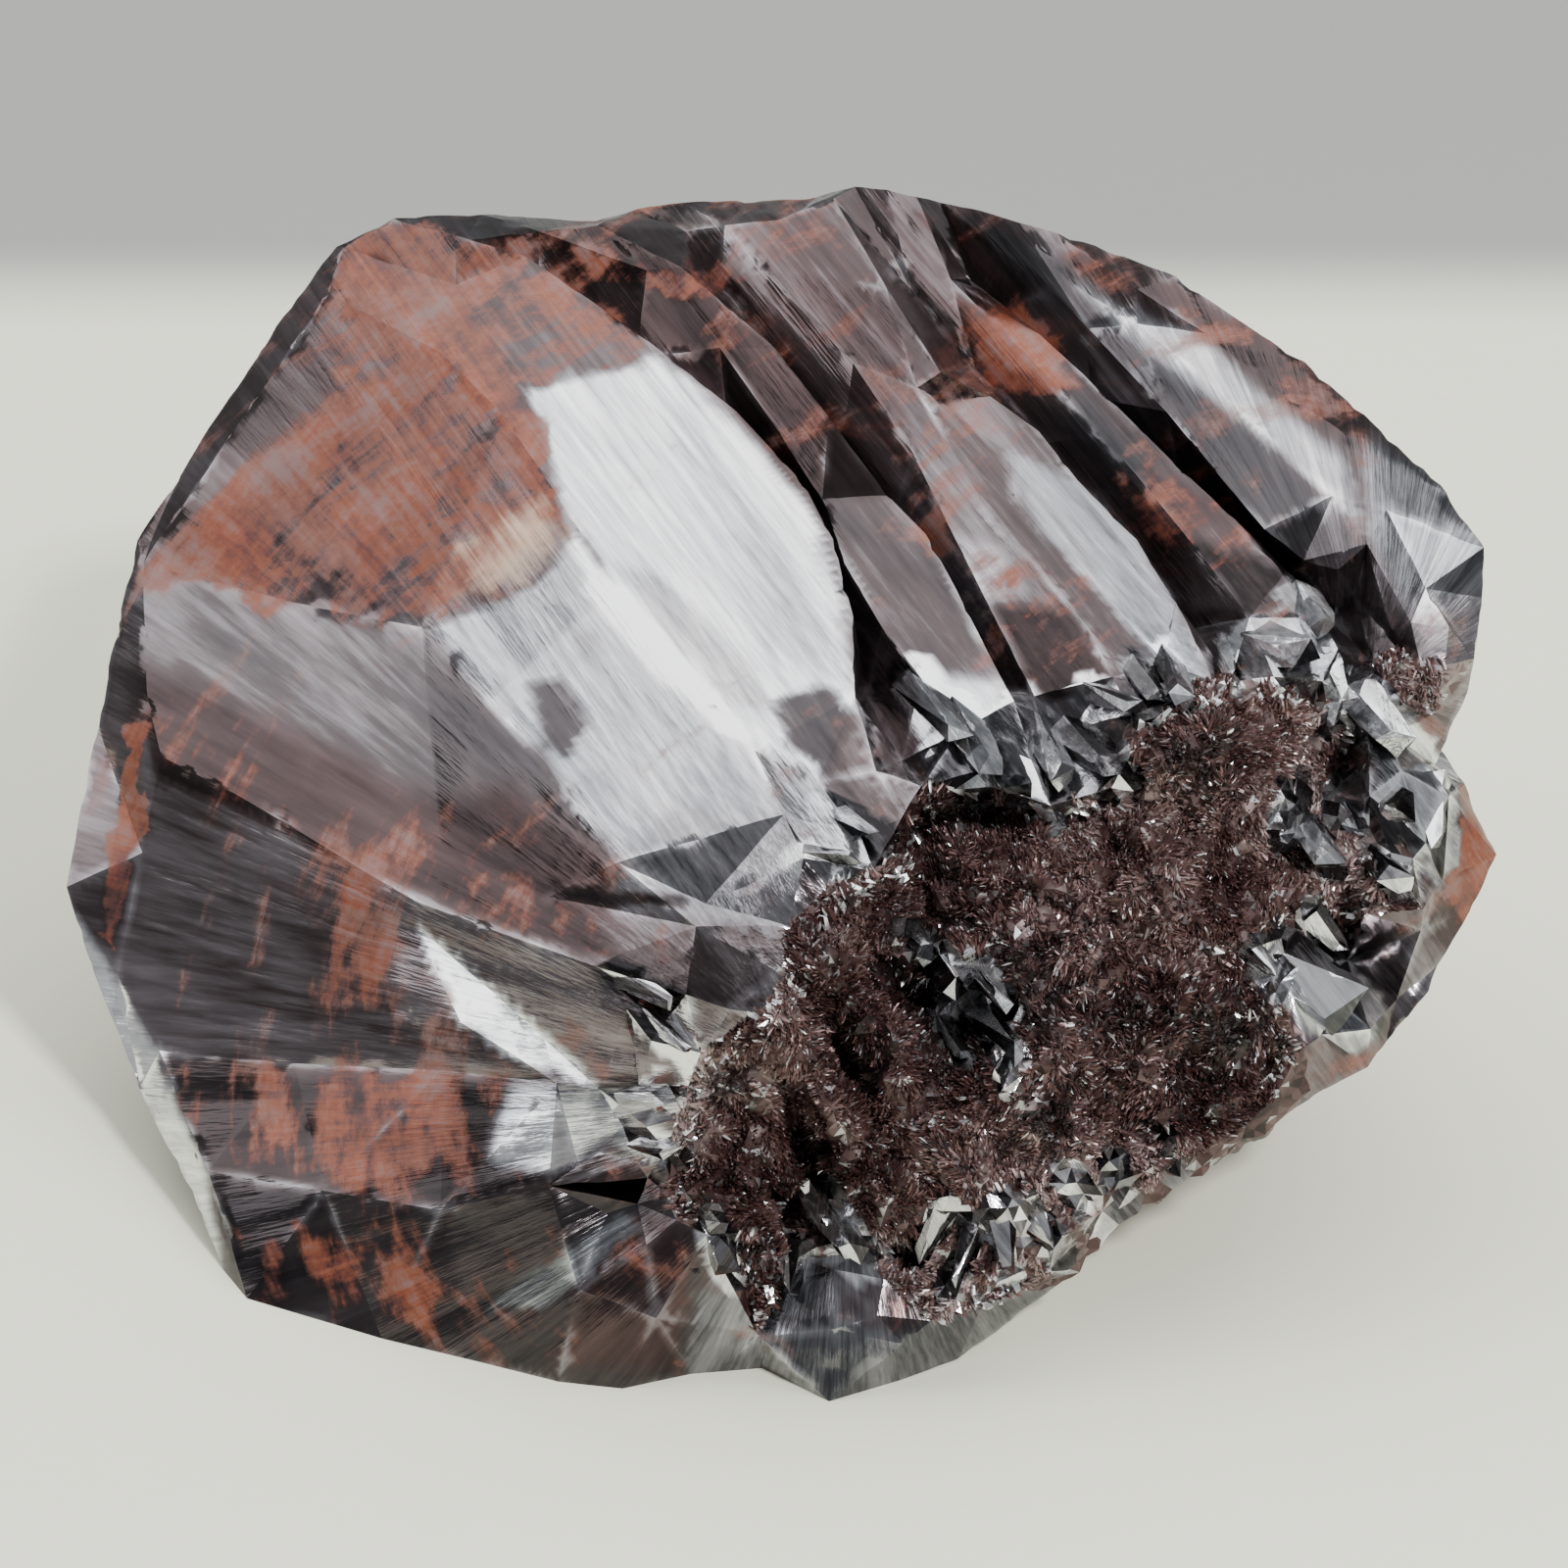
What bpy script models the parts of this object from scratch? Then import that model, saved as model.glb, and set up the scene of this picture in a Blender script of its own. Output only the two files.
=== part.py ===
"""Needle ore hematite: a hand-sized nodule, one solid, resting on a flat face of its own.

The needles grew outwards from a core that is now broken and rough, and the nodule has split
along them into long blades with flat, mirror-like faces. The blades overlap like shingles, fan
out from the core at the front right, run over the top, and close in a blunt back.

The front is set out like a drawing on squared paper. A corner is (across, down, behind): the
first two count squares from the top left of the sheet, as seen by an eye at EYE_ELEVATION, and
the third is the depth behind the sheet in millimetres. ON_FLOOR as a depth puts the corner
where its line of sight meets the surface that the stone rests on. Corners that the eye can't
see are plain (x, y, z) in millimetres, made with unseen().
"""

import math
import random

import bmesh
import bpy
import numpy as np
from mathutils import Matrix, Vector, geometry, noise
from mathutils.bvhtree import BVHTree

MM = 0.001
SQUARE = 2.8                        # side of a square of the sheet, in mm
SHEET_CENTRE = (8.0, 8.0)           # square count at the middle of the sheet
EYE_DISTANCE = 160.0                # from the eye to the middle of the sheet, in mm
EYE_ELEVATION = math.radians(28.0)  # of the eye above the horizon
SHEET_PLACE = (-0.2, -9.4, 15.5)    # the middle of the sheet in the stone's frame, in mm
ON_FLOOR = "on the floor"

CORE_GRAIN = 0.15                   # spacing of the broken core's corners, in squares
CORE_ROUGHNESS = 0.30               # how far they stand in or out, in mm
CORE_BUNDLES = 0.55                 # how far bundles of needles stand in or out, in mm
SHARD_SIDES = 5                     # sides of a broken blade end
SHARD_FLATNESS = 0.8                # its thickness over its width
SLIVER = 0.001                      # corners this close are one where shards join, in mm
SEED = 7


def unseen(x, y, z):
    """A hidden corner, in mm in the stone's own frame."""
    return ("unseen", x, y, z)


# Corners that several lines share.
HEEL_CORNER = (2.52, 13.25, ON_FLOOR)
HEEL_LEFT = (3.90, 13.66, ON_FLOOR)
HEEL_MIDDLE = (4.90, 13.90, ON_FLOOR)
HEEL_CHIP = (5.70, 14.10, ON_FLOOR)
HEEL_FRONT = (6.35, 14.17, ON_FLOOR)
PIT_POINT = (5.60, 12.10, 0.3)
PIT_BACK = (6.60, 12.02, 0.1)
SPIKE = (6.12, 11.12, 0.4)
BLADE_ROOT = (4.30, 9.50, 4.2)
BLADE_BEND = (4.70, 10.43, 2.6)
BLADE_LOW = (5.30, 10.80, 1.5)
BLADE_END = (5.68, 11.05, 0.9)
KEEL_STEP = (6.05, 9.85, 0.1)
WAIST = (5.68, 5.05, 9.5)
RIDGE_1 = (6.30, 6.00, 6.9)
RIDGE_2 = (7.00, 6.85, 4.6)
RIDGE_3 = (7.70, 7.65, 2.5)
RIB_3_HEAD = (9.35, 3.95, 12.3)

# The lines of the blades, in order round the stone from the floor at the front left, up, over
# the top and down the right side. Each runs from the outside of the stone to the broken core.
LINES = {
    "heel": [HEEL_CORNER, HEEL_LEFT, HEEL_MIDDLE, HEEL_CHIP, HEEL_FRONT, (7.05, 14.02, ON_FLOOR),
             (7.45, 13.90, 0.9), (7.72, 13.60, 0.2)],
    "splint": [HEEL_CORNER, HEEL_LEFT, HEEL_MIDDLE, HEEL_CHIP, HEEL_FRONT, (6.70, 13.45, -0.2),
               (7.00, 12.95, -0.6), (7.20, 12.60, -0.9)],
    "calf": [HEEL_CORNER, HEEL_LEFT, HEEL_MIDDLE, (5.90, 13.15, 0.3), (6.60, 12.70, -0.4),
             (6.90, 12.45, -0.6)],
    "step": [(2.12, 11.95, 6.2), (3.30, 12.15, 3.8), (4.50, 12.35, 1.5), PIT_POINT,
             (6.20, 12.38, 0.2), (6.50, 12.28, 0.1), (6.80, 12.20, -0.4)],
    "pit_floor": [(2.12, 11.95, 6.2), (3.30, 12.15, 3.8), (4.50, 12.35, 1.5), PIT_POINT,
                  (6.15, 12.05, 3.0), (6.42, 12.00, 2.6), PIT_BACK, (6.80, 12.05, -0.4)],
    "pit_lip": [(2.12, 11.95, 6.2), (3.30, 12.15, 3.8), (4.50, 12.35, 1.5), PIT_POINT,
                (5.90, 11.86, 0.5), (6.12, 11.76, 0.3), (6.50, 11.85, 0.1), PIT_BACK,
                (6.80, 12.05, -0.4)],
    "ledge": [(1.62, 10.72, 9.8), (3.00, 10.85, 6.5), (4.50, 10.92, 3.0), BLADE_END, SPIKE,
              (6.35, 11.50, 0.0), (6.80, 11.75, -0.3)],
    "shelf": [(1.20, 9.95, 11.1), (2.40, 9.45, 8.6), (3.30, 10.00, 6.2), (4.10, 10.32, 4.2),
              BLADE_BEND, BLADE_LOW, BLADE_END, SPIKE, (6.35, 11.50, 0.0), (6.80, 11.75, -0.3)],
    "blade_low": [(1.45, 8.70, 11.1), (3.00, 9.05, 7.4), (3.95, 9.40, 5.0), BLADE_ROOT,
                  (4.50, 10.00, 3.2), BLADE_BEND, BLADE_LOW, BLADE_END, SPIKE,
                  (6.60, 11.50, -0.5), (6.90, 11.42, -0.7)],
    "blade_high": [(1.45, 8.70, 11.1), (3.00, 9.05, 7.4), (3.95, 9.40, 5.0), BLADE_ROOT,
                   (5.00, 10.10, 2.7), (5.55, 10.60, 1.5), SPIKE, (6.52, 11.08, -0.4),
                   (7.00, 11.20, -0.9)],
    "flank": [(1.65, 7.72, 11.2), (2.40, 8.10, 9.3), (3.00, 8.45, 7.7), (3.70, 8.88, 5.8),
              (4.25, 9.20, 4.4), (5.20, 9.55, 2.1), KEEL_STEP, (6.40, 10.30, 0.3),
              (6.65, 10.62, 0.0), (7.02, 11.08, -0.9)],
    "glint": [(1.65, 7.72, 11.2), (2.40, 8.10, 9.3), (3.00, 8.45, 7.7), (3.70, 8.88, 5.8),
              (4.25, 9.20, 4.4), (5.20, 9.55, 2.1), KEEL_STEP, (6.85, 10.34, -1.2),
              (7.15, 10.75, -1.6)],
    "keel": [(1.65, 7.72, 11.2), (2.40, 8.10, 9.3), (3.00, 8.45, 7.7), (3.70, 8.88, 5.8),
             (4.25, 9.20, 4.4), (5.20, 9.55, 2.1), KEEL_STEP, (7.00, 10.15, -1.9),
             (7.45, 10.30, -2.4), (7.75, 10.34, -2.6)],
    "fold": [(1.50, 7.15, 12.2), (3.00, 7.90, 8.4), (4.50, 8.60, 4.6), (5.60, 9.15, 1.8),
             (7.10, 9.45, -1.3), (8.00, 9.95, -2.7)],
    "hem": [(1.46, 5.75, 14.1), (3.00, 6.15, 10.7), (4.30, 6.40, 7.9), (5.00, 7.15, 5.7),
            (5.50, 7.70, 4.1), (6.30, 8.80, 1.1), (7.20, 9.22, -0.6), (8.05, 9.45, -1.8)],
    "ridge": [(3.35, 3.00, 17.5), (4.50, 3.60, 14.4), (5.15, 4.25, 12.0), WAIST, RIDGE_1,
              RIDGE_2, RIDGE_3, (8.00, 8.30, 0.7), (8.20, 8.75, -0.3), (8.45, 9.05, -1.2)],
    "collar": [(3.50, 2.52, 18.2), (4.65, 2.90, 15.8), (5.00, 3.40, 14.3), (5.45, 4.00, 12.5),
               (5.52, 4.55, 10.9), WAIST, RIDGE_1, RIDGE_2, RIDGE_3, (8.35, 7.98, 1.7),
               (8.80, 8.55, 0.4), (8.92, 8.88, -0.4)],
    "crest_1": [(4.00, 2.24, 18.4), (4.65, 2.40, 17.2), (5.35, 2.62, 16.4), (6.50, 3.40, 14.5),
                (7.50, 4.20, 12.4), (8.20, 4.95, 10.4), (8.50, 5.50, 8.9), (8.70, 6.30, 6.6),
                (8.73, 7.10, 4.4), (8.95, 7.85, 2.3), (9.20, 8.35, 0.9)],
    "gap_1": [(4.75, 2.46, 18.8), (5.50, 2.82, 18.2), (6.50, 3.65, 16.3), (7.45, 4.50, 14.2),
              (8.05, 5.20, 12.4), (8.32, 5.75, 10.8), (8.55, 6.40, 8.8), (8.85, 7.10, 6.4),
              (9.20, 7.75, 3.9), (9.40, 8.02, 2.2)],
    "chip": [(5.50, 2.36, 18.6), (6.60, 2.76, 17.0), (7.35, 3.55, 14.7), (7.95, 4.40, 12.2),
             (8.40, 5.10, 10.4), (8.62, 5.75, 8.7), (9.00, 6.40, 6.7), (9.40, 6.92, 5.1),
             (9.80, 7.45, 3.4), (10.05, 7.85, 2.0)],
    "crest_2": [(6.10, 2.30, 18.8), (6.95, 2.72, 16.4), (7.90, 3.55, 13.7), (8.45, 4.25, 11.6),
                (9.05, 5.05, 9.4), (9.45, 5.45, 8.3), (9.75, 6.00, 6.8), (10.05, 6.60, 5.2),
                (10.35, 7.15, 3.7), (10.52, 7.75, 2.2), (10.72, 8.22, 1.0)],
    "gap_2": [(7.00, 2.36, 19.0), (7.35, 2.92, 18.0), (8.05, 3.72, 15.8), (8.60, 4.50, 13.8),
              (9.10, 5.30, 11.6), (9.45, 5.85, 10.0), (9.80, 6.50, 8.0), (10.20, 7.05, 6.2),
              (10.65, 7.55, 4.2), (10.95, 8.15, 1.4)],
    "keystone": [(7.40, 2.30, 18.6), (7.80, 2.78, 17.0), (8.70, 3.70, 14.0), (9.30, 4.60, 11.4),
                 (9.70, 5.40, 9.3), (10.15, 6.30, 6.9), (10.55, 7.10, 4.8), (10.95, 7.40, 3.8),
                 (11.30, 7.80, 1.8)],
    "seam_3": [(7.95, 2.24, 18.2), (8.60, 2.85, 15.8), RIB_3_HEAD, (9.90, 4.90, 9.7),
               (10.10, 5.30, 8.7), (10.60, 5.80, 7.3), (11.10, 6.40, 5.6), (11.35, 6.90, 4.2),
               (11.55, 7.30, 2.4)],
    "seam_4": [(7.95, 2.24, 18.2), (8.60, 2.85, 15.8), RIB_3_HEAD, (10.30, 4.62, 10.2),
               (10.36, 5.10, 9.1), (10.70, 5.50, 8.0), (11.30, 6.10, 6.1), (11.88, 6.75, 4.0),
               (11.95, 6.98, 2.8)],
    "crest_4": [(8.50, 2.02, 18.4), (9.05, 2.95, 15.0), (9.60, 3.80, 12.3), (10.10, 4.05, 11.5),
                (10.60, 4.40, 10.4), (11.00, 4.90, 9.1), (11.60, 5.50, 7.4), (12.00, 6.15, 5.6),
                (12.28, 6.70, 4.0), (12.38, 6.95, 3.1)],
    "gap_4": [(8.72, 1.90, 19.0), (9.30, 2.95, 17.2), (9.95, 3.75, 15.2), (10.70, 4.52, 13.0),
              (11.20, 5.20, 11.2), (11.75, 5.80, 9.3), (12.15, 6.40, 7.4), (12.55, 6.95, 4.4)],
    "mid_4": [(9.05, 1.93, 18.8), (9.70, 2.85, 16.2), (10.70, 3.85, 13.3), (11.60, 4.85, 10.4),
              (12.25, 5.65, 8.0), (12.75, 6.30, 5.9), (13.00, 6.90, 3.8)],
    "crest_5": [(9.35, 2.00, 18.4), (9.90, 2.85, 15.4), (10.60, 3.40, 13.6), (11.20, 3.95, 11.9),
                (12.00, 4.75, 9.7), (12.60, 5.30, 8.2), (13.10, 5.85, 6.8), (13.45, 6.30, 5.6),
                (13.65, 6.62, 4.6), (13.50, 6.95, 3.6)],
    "gap_5": [(9.60, 2.06, 18.8), (10.20, 3.20, 17.4), (11.10, 4.05, 15.2), (12.05, 4.98, 13.2),
              (12.70, 5.45, 12.0), (13.15, 5.95, 11.2), (13.62, 6.28, 9.8), (14.00, 6.75, 7.2)],
    "tongue": [(10.00, 2.15, 17.8), (11.10, 3.35, 14.4), (11.90, 4.20, 12.2), (12.60, 5.05, 10.1),
               (12.90, 5.40, 9.2), (13.30, 5.72, 8.3), (13.65, 5.82, 7.9), (13.85, 6.10, 9.0),
               (14.25, 6.62, 6.6)],
    "lap": [(10.40, 2.27, 17.2), (11.10, 3.00, 14.9), (11.60, 3.30, 13.9), (12.50, 4.05, 11.7),
            (13.00, 4.50, 10.4), (13.60, 5.05, 8.9), (13.95, 5.55, 7.8), (14.40, 6.35, 5.8),
            (14.50, 6.80, 4.8)],
    "brow": [(10.80, 2.38, 16.8), (11.60, 2.95, 15.0), (12.30, 3.40, 13.6), (13.00, 3.95, 12.1),
             (13.75, 4.45, 10.8), (14.15, 5.20, 9.0), (14.55, 6.00, 7.0), (14.78, 6.40, 5.9),
             (14.75, 6.78, 5.2)],
    "shoulder": [(11.30, 2.55, 16.8), (12.00, 2.82, 15.8), (13.30, 3.70, 13.6),
                 (14.00, 4.32, 12.4), (14.70, 4.95, 10.9), (15.15, 5.58, 9.6), (15.12, 6.10, 8.2),
                 (15.05, 6.72, 6.6)],
    "right_side": [unseen(13.0, 13.4, 15.0), unseen(18.5, 7.0, 14.6), (14.98, 7.05, 7.6),
                   (14.62, 7.30, 6.4)],
    "notch": [unseen(14.5, 12.0, 12.0), unseen(18.6, 3.6, 11.6), (14.62, 7.86, 7.2),
              (14.20, 7.50, 5.6), (13.95, 7.20, 5.0)],
    "knee_top": [unseen(15.0, 11.0, 11.0), unseen(19.6, 2.0, 11.2), (14.95, 8.00, 6.0),
                 (14.62, 7.84, 4.4), (14.30, 7.86, 3.6), (13.98, 8.12, 3.4)],
    "knee": [unseen(15.5, 10.5, 9.0), unseen(20.0, 1.4, 9.2), (15.27, 8.72, 5.4),
             (14.80, 8.12, 3.8), (14.55, 8.60, 2.8), (14.42, 8.76, 3.0)],
    "knee_low": [unseen(15.0, 10.0, 7.0), unseen(18.6, 0.5, 6.8), (15.00, 9.30, 5.0),
                 (14.72, 9.00, 3.6), (14.52, 9.28, 3.4)],
    "scallop_top": [unseen(14.5, 9.5, 5.6), unseen(18.0, -0.5, 5.8), (14.68, 9.86, 4.8),
                    (14.50, 9.50, 4.0), (13.95, 9.32, 3.6)],
    "scallop": [unseen(13.8, 9.5, 4.4), unseen(17.0, -1.5, 4.8), (14.60, 10.12, 4.6),
                (14.25, 10.20, 4.3), (13.75, 9.80, 5.4)],
    "scallop_low": [unseen(13.0, 9.0, 3.4), unseen(16.0, -2.5, 3.8), (14.15, 10.62, 4.2),
                    (13.98, 10.50, 3.2), (13.45, 10.02, 2.4), (13.15, 10.10, 2.0)],
    "hip": [unseen(12.0, 9.0, 2.4), unseen(15.0, -3.5, 3.0), (13.95, 10.88, 4.0),
            (13.50, 10.56, 2.2), (13.25, 10.72, 1.8)],
    "hip_low": [unseen(11.0, 8.5, 1.2), unseen(13.0, -4.5, 1.6), (13.35, 11.22, 3.0),
                (13.00, 11.20, 2.0)],
    "edge_right": [unseen(10.5, 8.2, 0.6), unseen(12.0, -5.0, 1.0), (12.90, 11.56, 2.6),
                   (12.60, 11.55, 1.9)],
    "edge_middle": [unseen(10.0, 8.0, 0.3), unseen(10.8, -5.6, 0.6), (12.15, 12.02, 2.2),
                    (11.95, 11.90, 1.6)],
    "edge_low": [unseen(9.5, 8.0, 0.0), unseen(9.6, -6.4, 0.2), (11.42, 12.50, 2.0),
                 (11.25, 12.36, 1.4)],
    "sole": [unseen(9.0, 8.0, 0.0), unseen(8.2, -7.4, 0.0), (11.00, 12.96, 2.0),
             (10.72, 12.98, 1.0)],
    "undercut": [unseen(8.4, 7.8, 0.0), unseen(6.0, -9.0, 0.0), (9.78, 13.86, 1.6),
                 (10.00, 13.36, 0.4), (9.95, 13.28, 0.3)],
    "prow": [unseen(8.0, 7.6, 0.0), unseen(3.4, -10.0, 0.0), (9.20, 14.08, ON_FLOOR),
             (9.22, 13.72, -0.2), (9.50, 13.48, -0.2)],
    "prow_left": [unseen(7.6, 7.4, 0.0), unseen(1.6, -11.0, 0.0), (8.46, 14.30, ON_FLOOR),
                  (8.52, 13.56, -0.5), (8.95, 13.42, -0.3), (9.02, 13.05, 0.0)],
    "prow_back": [unseen(7.2, 7.2, 0.0), unseen(-0.5, -11.5, 0.0), (7.78, 13.96, ON_FLOOR),
                  (7.74, 13.64, 0.2), (8.50, 12.95, 0.3), (8.72, 12.78, 0.2)],
    "cleft_side": [unseen(7.2, 7.2, 0.0), unseen(-0.5, -11.5, 0.0), (7.78, 13.96, ON_FLOOR),
                   (7.74, 13.64, 0.2), (7.98, 13.10, 0.6), (8.10, 12.86, 0.8)],
}

# The next ring out from the lines' outer ends: the stone's outline at the left and top, then
# hidden at the back right and on the floor.
OUTER_RING = [
    (2.28, 12.96, ON_FLOOR), (2.02, 12.32, 7.2), (1.42, 11.10, 10.6), (0.96, 9.95, 12.2),
    (0.68, 9.05, 12.8), (0.99, 7.40, 14.6), (1.18, 6.45, 15.4), (1.41, 5.52, 16.2),
    (1.80, 4.90, 17.2), (2.88, 3.22, 18.8), (3.44, 2.52, 19.2), (4.02, 2.22, 20.0),
    (4.90, 2.19, 20.8), (6.08, 2.26, 21.4), (6.50, 2.14, 20.8), (6.95, 2.07, 20.4),
    (7.60, 2.05, 20.4), (8.32, 2.02, 20.4), unseen(3.5, 18.4, 21.2), unseen(7.0, 17.4, 19.6),
    unseen(10.2, 15.6, 18.0), unseen(12.6, 14.8, 15.0), unseen(13.8, 13.6, 11.2),
    unseen(13.4, 12.4, 7.0), unseen(11.8, 11.8, 3.0), unseen(9.8, 11.2, 0.0),
]

# Where the back and the left side come down to the floor, from the front left round to the right.
BACK_FOOT = [
    (-16.2, -4.5), (-15.6, -0.5), (-14.4, 3.5), (-12.4, 7.0), (-9.4, 9.8), (-5.6, 11.6), (-1.6, 12.4),
    (2.6, 12.4), (6.6, 11.8),
]
BACK_CENTRE = (-2.0, 1.0)           # the back swells away from here, in mm
BACK_SWELL = 4.4                    # how far it swells at half height, in mm
BACK_GROOVE = 1.4                   # depth of the grooves between its blades, in mm
BACK_ROWS = 5                       # rows of facets between the outline and the floor

# Broad faces that split along one plane: how much deeper the face gets, in mm, for each square
# across and each square down, and the corners on it as (line, first, one past the last).
FLAT_FACES = {
    "left face": (-1.9, -1.3, [("keel", 0, 6), ("fold", 0, 4), ("hem", 0, 3)]),
    "middle face": (-0.9, -2.1, [("hem", 2, 6), ("ridge", 3, 9)]),
    "upper left face": (-1.75, -1.9, [("hem", 0, 3), ("ridge", 0, 4)]),
    "collar face": (-0.8, -2.6, [("ridge", 0, 4), ("collar", 0, 6)]),
    "white face": (0.34, -2.96, [("collar", 3, 9), ("crest_1", 2, 9)]),
    "lower left face": (-2.3, -0.5, [("keel", 0, 5), ("blade_low", 0, 4), ("shelf", 0, 4),
                                     ("ledge", 0, 3)]),
    "red face": (-2.1, -1.3, [("ledge", 0, 3), ("pit_lip", 0, 4)]),
    "brown face": (-2.4, 0.2, [("blade_high", 3, 7), ("flank", 4, 9)]),
    "bright blade": (-1.6, -1.2, [("blade_high", 3, 6), ("blade_low", 3, 8)]),
    "foot face": (-1.4, 0.0, [("step", 0, 4), ("calf", 0, 4)]),
    "second top": (-0.9, -2.6, [("chip", 4, 9), ("crest_2", 4, 9)]),
    "third slope": (-1.1, -2.1, [("keystone", 2, 7), ("seam_3", 2, 7)]),
    "third front": (-0.4, -2.6, [("seam_3", 3, 8), ("seam_4", 3, 7)]),
    "third leaf": (0.3, -3.0, [("seam_4", 3, 7), ("crest_4", 3, 8)]),
    "fourth top": (-0.6, -2.3, [("mid_4", 1, 6), ("crest_5", 2, 7)]),
    "fifth face": (-1.2, -1.9, [("tongue", 1, 5), ("lap", 1, 7)]),
    "fifth slope": (0.1, -2.6, [("lap", 1, 7), ("brow", 1, 6)]),
    "fifth top": (1.0, -3.2, [("brow", 1, 6), ("shoulder", 1, 6)]),
}

# Relief of the broken core: (across, down, half width, half height, turn in degrees, rise in mm).
CORE_RELIEF = [
    (8.15, 10.50, 1.90, 0.75, -58, 1.6),     # the left lobe
    (10.30, 11.10, 1.60, 1.30, 20, 1.7),     # the middle lobe
    (12.20, 9.70, 1.60, 1.30, 30, 1.1),      # the right lobe
    (12.20, 7.65, 0.75, 0.70, 0, 1.9),       # the upper lobe
    (10.60, 12.55, 1.20, 0.50, -18, 0.9),    # the lip over the front
    (9.45, 8.95, 0.36, 1.00, 10, -3.0),      # the hollow beside the second blade
    (9.25, 10.15, 0.75, 0.20, -40, -2.6),    # the cleft, in five stretches
    (8.62, 10.75, 0.20, 0.60, 30, -3.4),
    (8.22, 11.60, 0.19, 0.65, 22, -3.6),
    (8.05, 12.35, 0.24, 0.45, 12, -3.2),
    (9.85, 10.45, 0.26, 0.55, -35, -2.4),
    (10.25, 8.35, 0.75, 0.26, 0, -2.2),      # the hollow under the third blade
    (11.45, 8.25, 0.55, 0.22, 10, -1.2),
    (13.55, 7.90, 0.42, 0.42, 0, -3.2),      # the hollow at the right
    (13.00, 8.75, 0.50, 0.24, 20, -1.6),
    (13.62, 9.50, 0.28, 0.42, 0, -2.2),
    (9.20, 12.90, 0.20, 0.30, 0, -1.6),      # the hollow over the toe
    (11.40, 11.15, 0.60, 0.16, -60, -1.2),
    (11.58, 8.90, 0.14, 0.90, -14, 0.8),     # the fine ridge down the middle
]

# Broken blade ends round the core: root and tip on the sheet, half width and rise in mm.
SHARDS = [
    ((9.35, 6.95), (9.80, 7.60), 0.78, 0.8), ((9.75, 7.25), (10.15, 7.85), 0.65, 1.0),
    ((9.55, 7.70), (9.95, 8.15), 0.53, 0.7), ((10.15, 7.55), (10.40, 8.10), 0.56, 0.9),
    ((10.45, 7.25), (10.85, 8.00), 0.71, 1.0), ((10.55, 8.00), (10.75, 8.40), 0.46, 0.6),
    ((10.95, 7.45), (11.35, 7.90), 0.96, 1.1), ((11.10, 7.05), (11.65, 7.25), 0.53, 0.8),
    ((11.55, 6.75), (11.80, 7.15), 0.46, 0.9), ((11.90, 6.70), (12.05, 7.15), 0.53, 1.0),
    ((12.50, 6.55), (12.62, 7.05), 0.25, 0.9), ((12.90, 6.60), (13.35, 6.75), 1.02, 1.1),
    ((13.25, 6.05), (13.55, 6.45), 0.62, 0.9), ((13.55, 6.75), (13.75, 7.20), 0.53, 1.0),
    ((13.75, 6.85), (13.55, 7.45), 0.37, 0.9), ((13.85, 7.10), (14.35, 7.75), 0.93, 1.2),
    ((13.20, 8.05), (13.10, 8.60), 0.59, 1.0), ((13.35, 8.45), (13.60, 8.85), 0.46, 0.9),
    ((13.80, 8.15), (14.35, 8.25), 1.02, 1.0), ((14.62, 7.95), (14.66, 8.70), 0.71, 0.8),
    ((14.05, 8.75), (14.30, 9.05), 0.62, 0.7), ((13.35, 9.30), (13.70, 9.75), 0.53, 0.7),
    ((13.05, 9.80), (13.75, 10.35), 1.08, 1.1), ((12.75, 9.65), (13.05, 10.00), 0.40, 0.7),
    ((8.35, 12.20), (8.75, 12.85), 0.71, 1.0), ((8.15, 12.75), (8.05, 13.25), 0.53, 0.7),
    ((7.25, 12.45), (7.45, 13.00), 0.53, 0.6), ((9.65, 12.30), (9.30, 12.85), 0.46, 0.8),
    ((9.95, 12.45), (9.70, 13.15), 0.53, 0.9), ((10.20, 12.25), (10.30, 13.00), 0.53, 0.9),
    ((10.50, 12.35), (10.80, 12.80), 0.59, 0.9), ((10.85, 12.00), (11.25, 12.45), 0.62, 0.9),
    ((11.35, 11.85), (11.50, 12.30), 0.53, 0.7), ((11.90, 11.60), (12.00, 12.00), 0.46, 0.7),
    ((9.55, 9.75), (9.85, 10.15), 0.65, 1.0), ((9.95, 9.85), (10.30, 10.30), 0.56, 0.9),
    ((10.00, 10.35), (10.35, 10.75), 0.50, 0.9), ((9.60, 10.40), (9.85, 10.80), 0.40, 0.7),
    ((10.25, 10.75), (10.30, 11.10), 0.40, 0.7), ((9.25, 9.45), (9.50, 9.80), 0.43, 0.7),
    ((8.20, 8.75), (8.85, 8.75), 0.53, 0.7), ((8.45, 8.30), (8.95, 8.55), 0.62, 0.6),
    ((6.30, 9.95), (6.95, 10.30), 0.46, 0.6), ((6.55, 10.35), (7.05, 10.75), 0.53, 0.6),
    ((6.20, 11.25), (6.85, 11.15), 0.62, 0.6), ((6.45, 11.60), (6.95, 11.80), 0.46, 0.6),
]


def view_axes():
    """The sheet's directions: right, up, and away from the eye."""
    cos, sin = math.cos(EYE_ELEVATION), math.sin(EYE_ELEVATION)
    return Vector((1, 0, 0)), Vector((0, sin, cos)), Vector((0, cos, -sin))


def place(across, down, behind):
    """The point in mm that the eye sees at a square of the sheet, that far behind it."""
    right, up, away = view_axes()
    spread = SQUARE * (1 + behind / EYE_DISTANCE)
    return (
        Vector(SHEET_PLACE)
        + right * (across - SHEET_CENTRE[0]) * spread
        + up * (SHEET_CENTRE[1] - down) * spread
        + away * behind
    )


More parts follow.
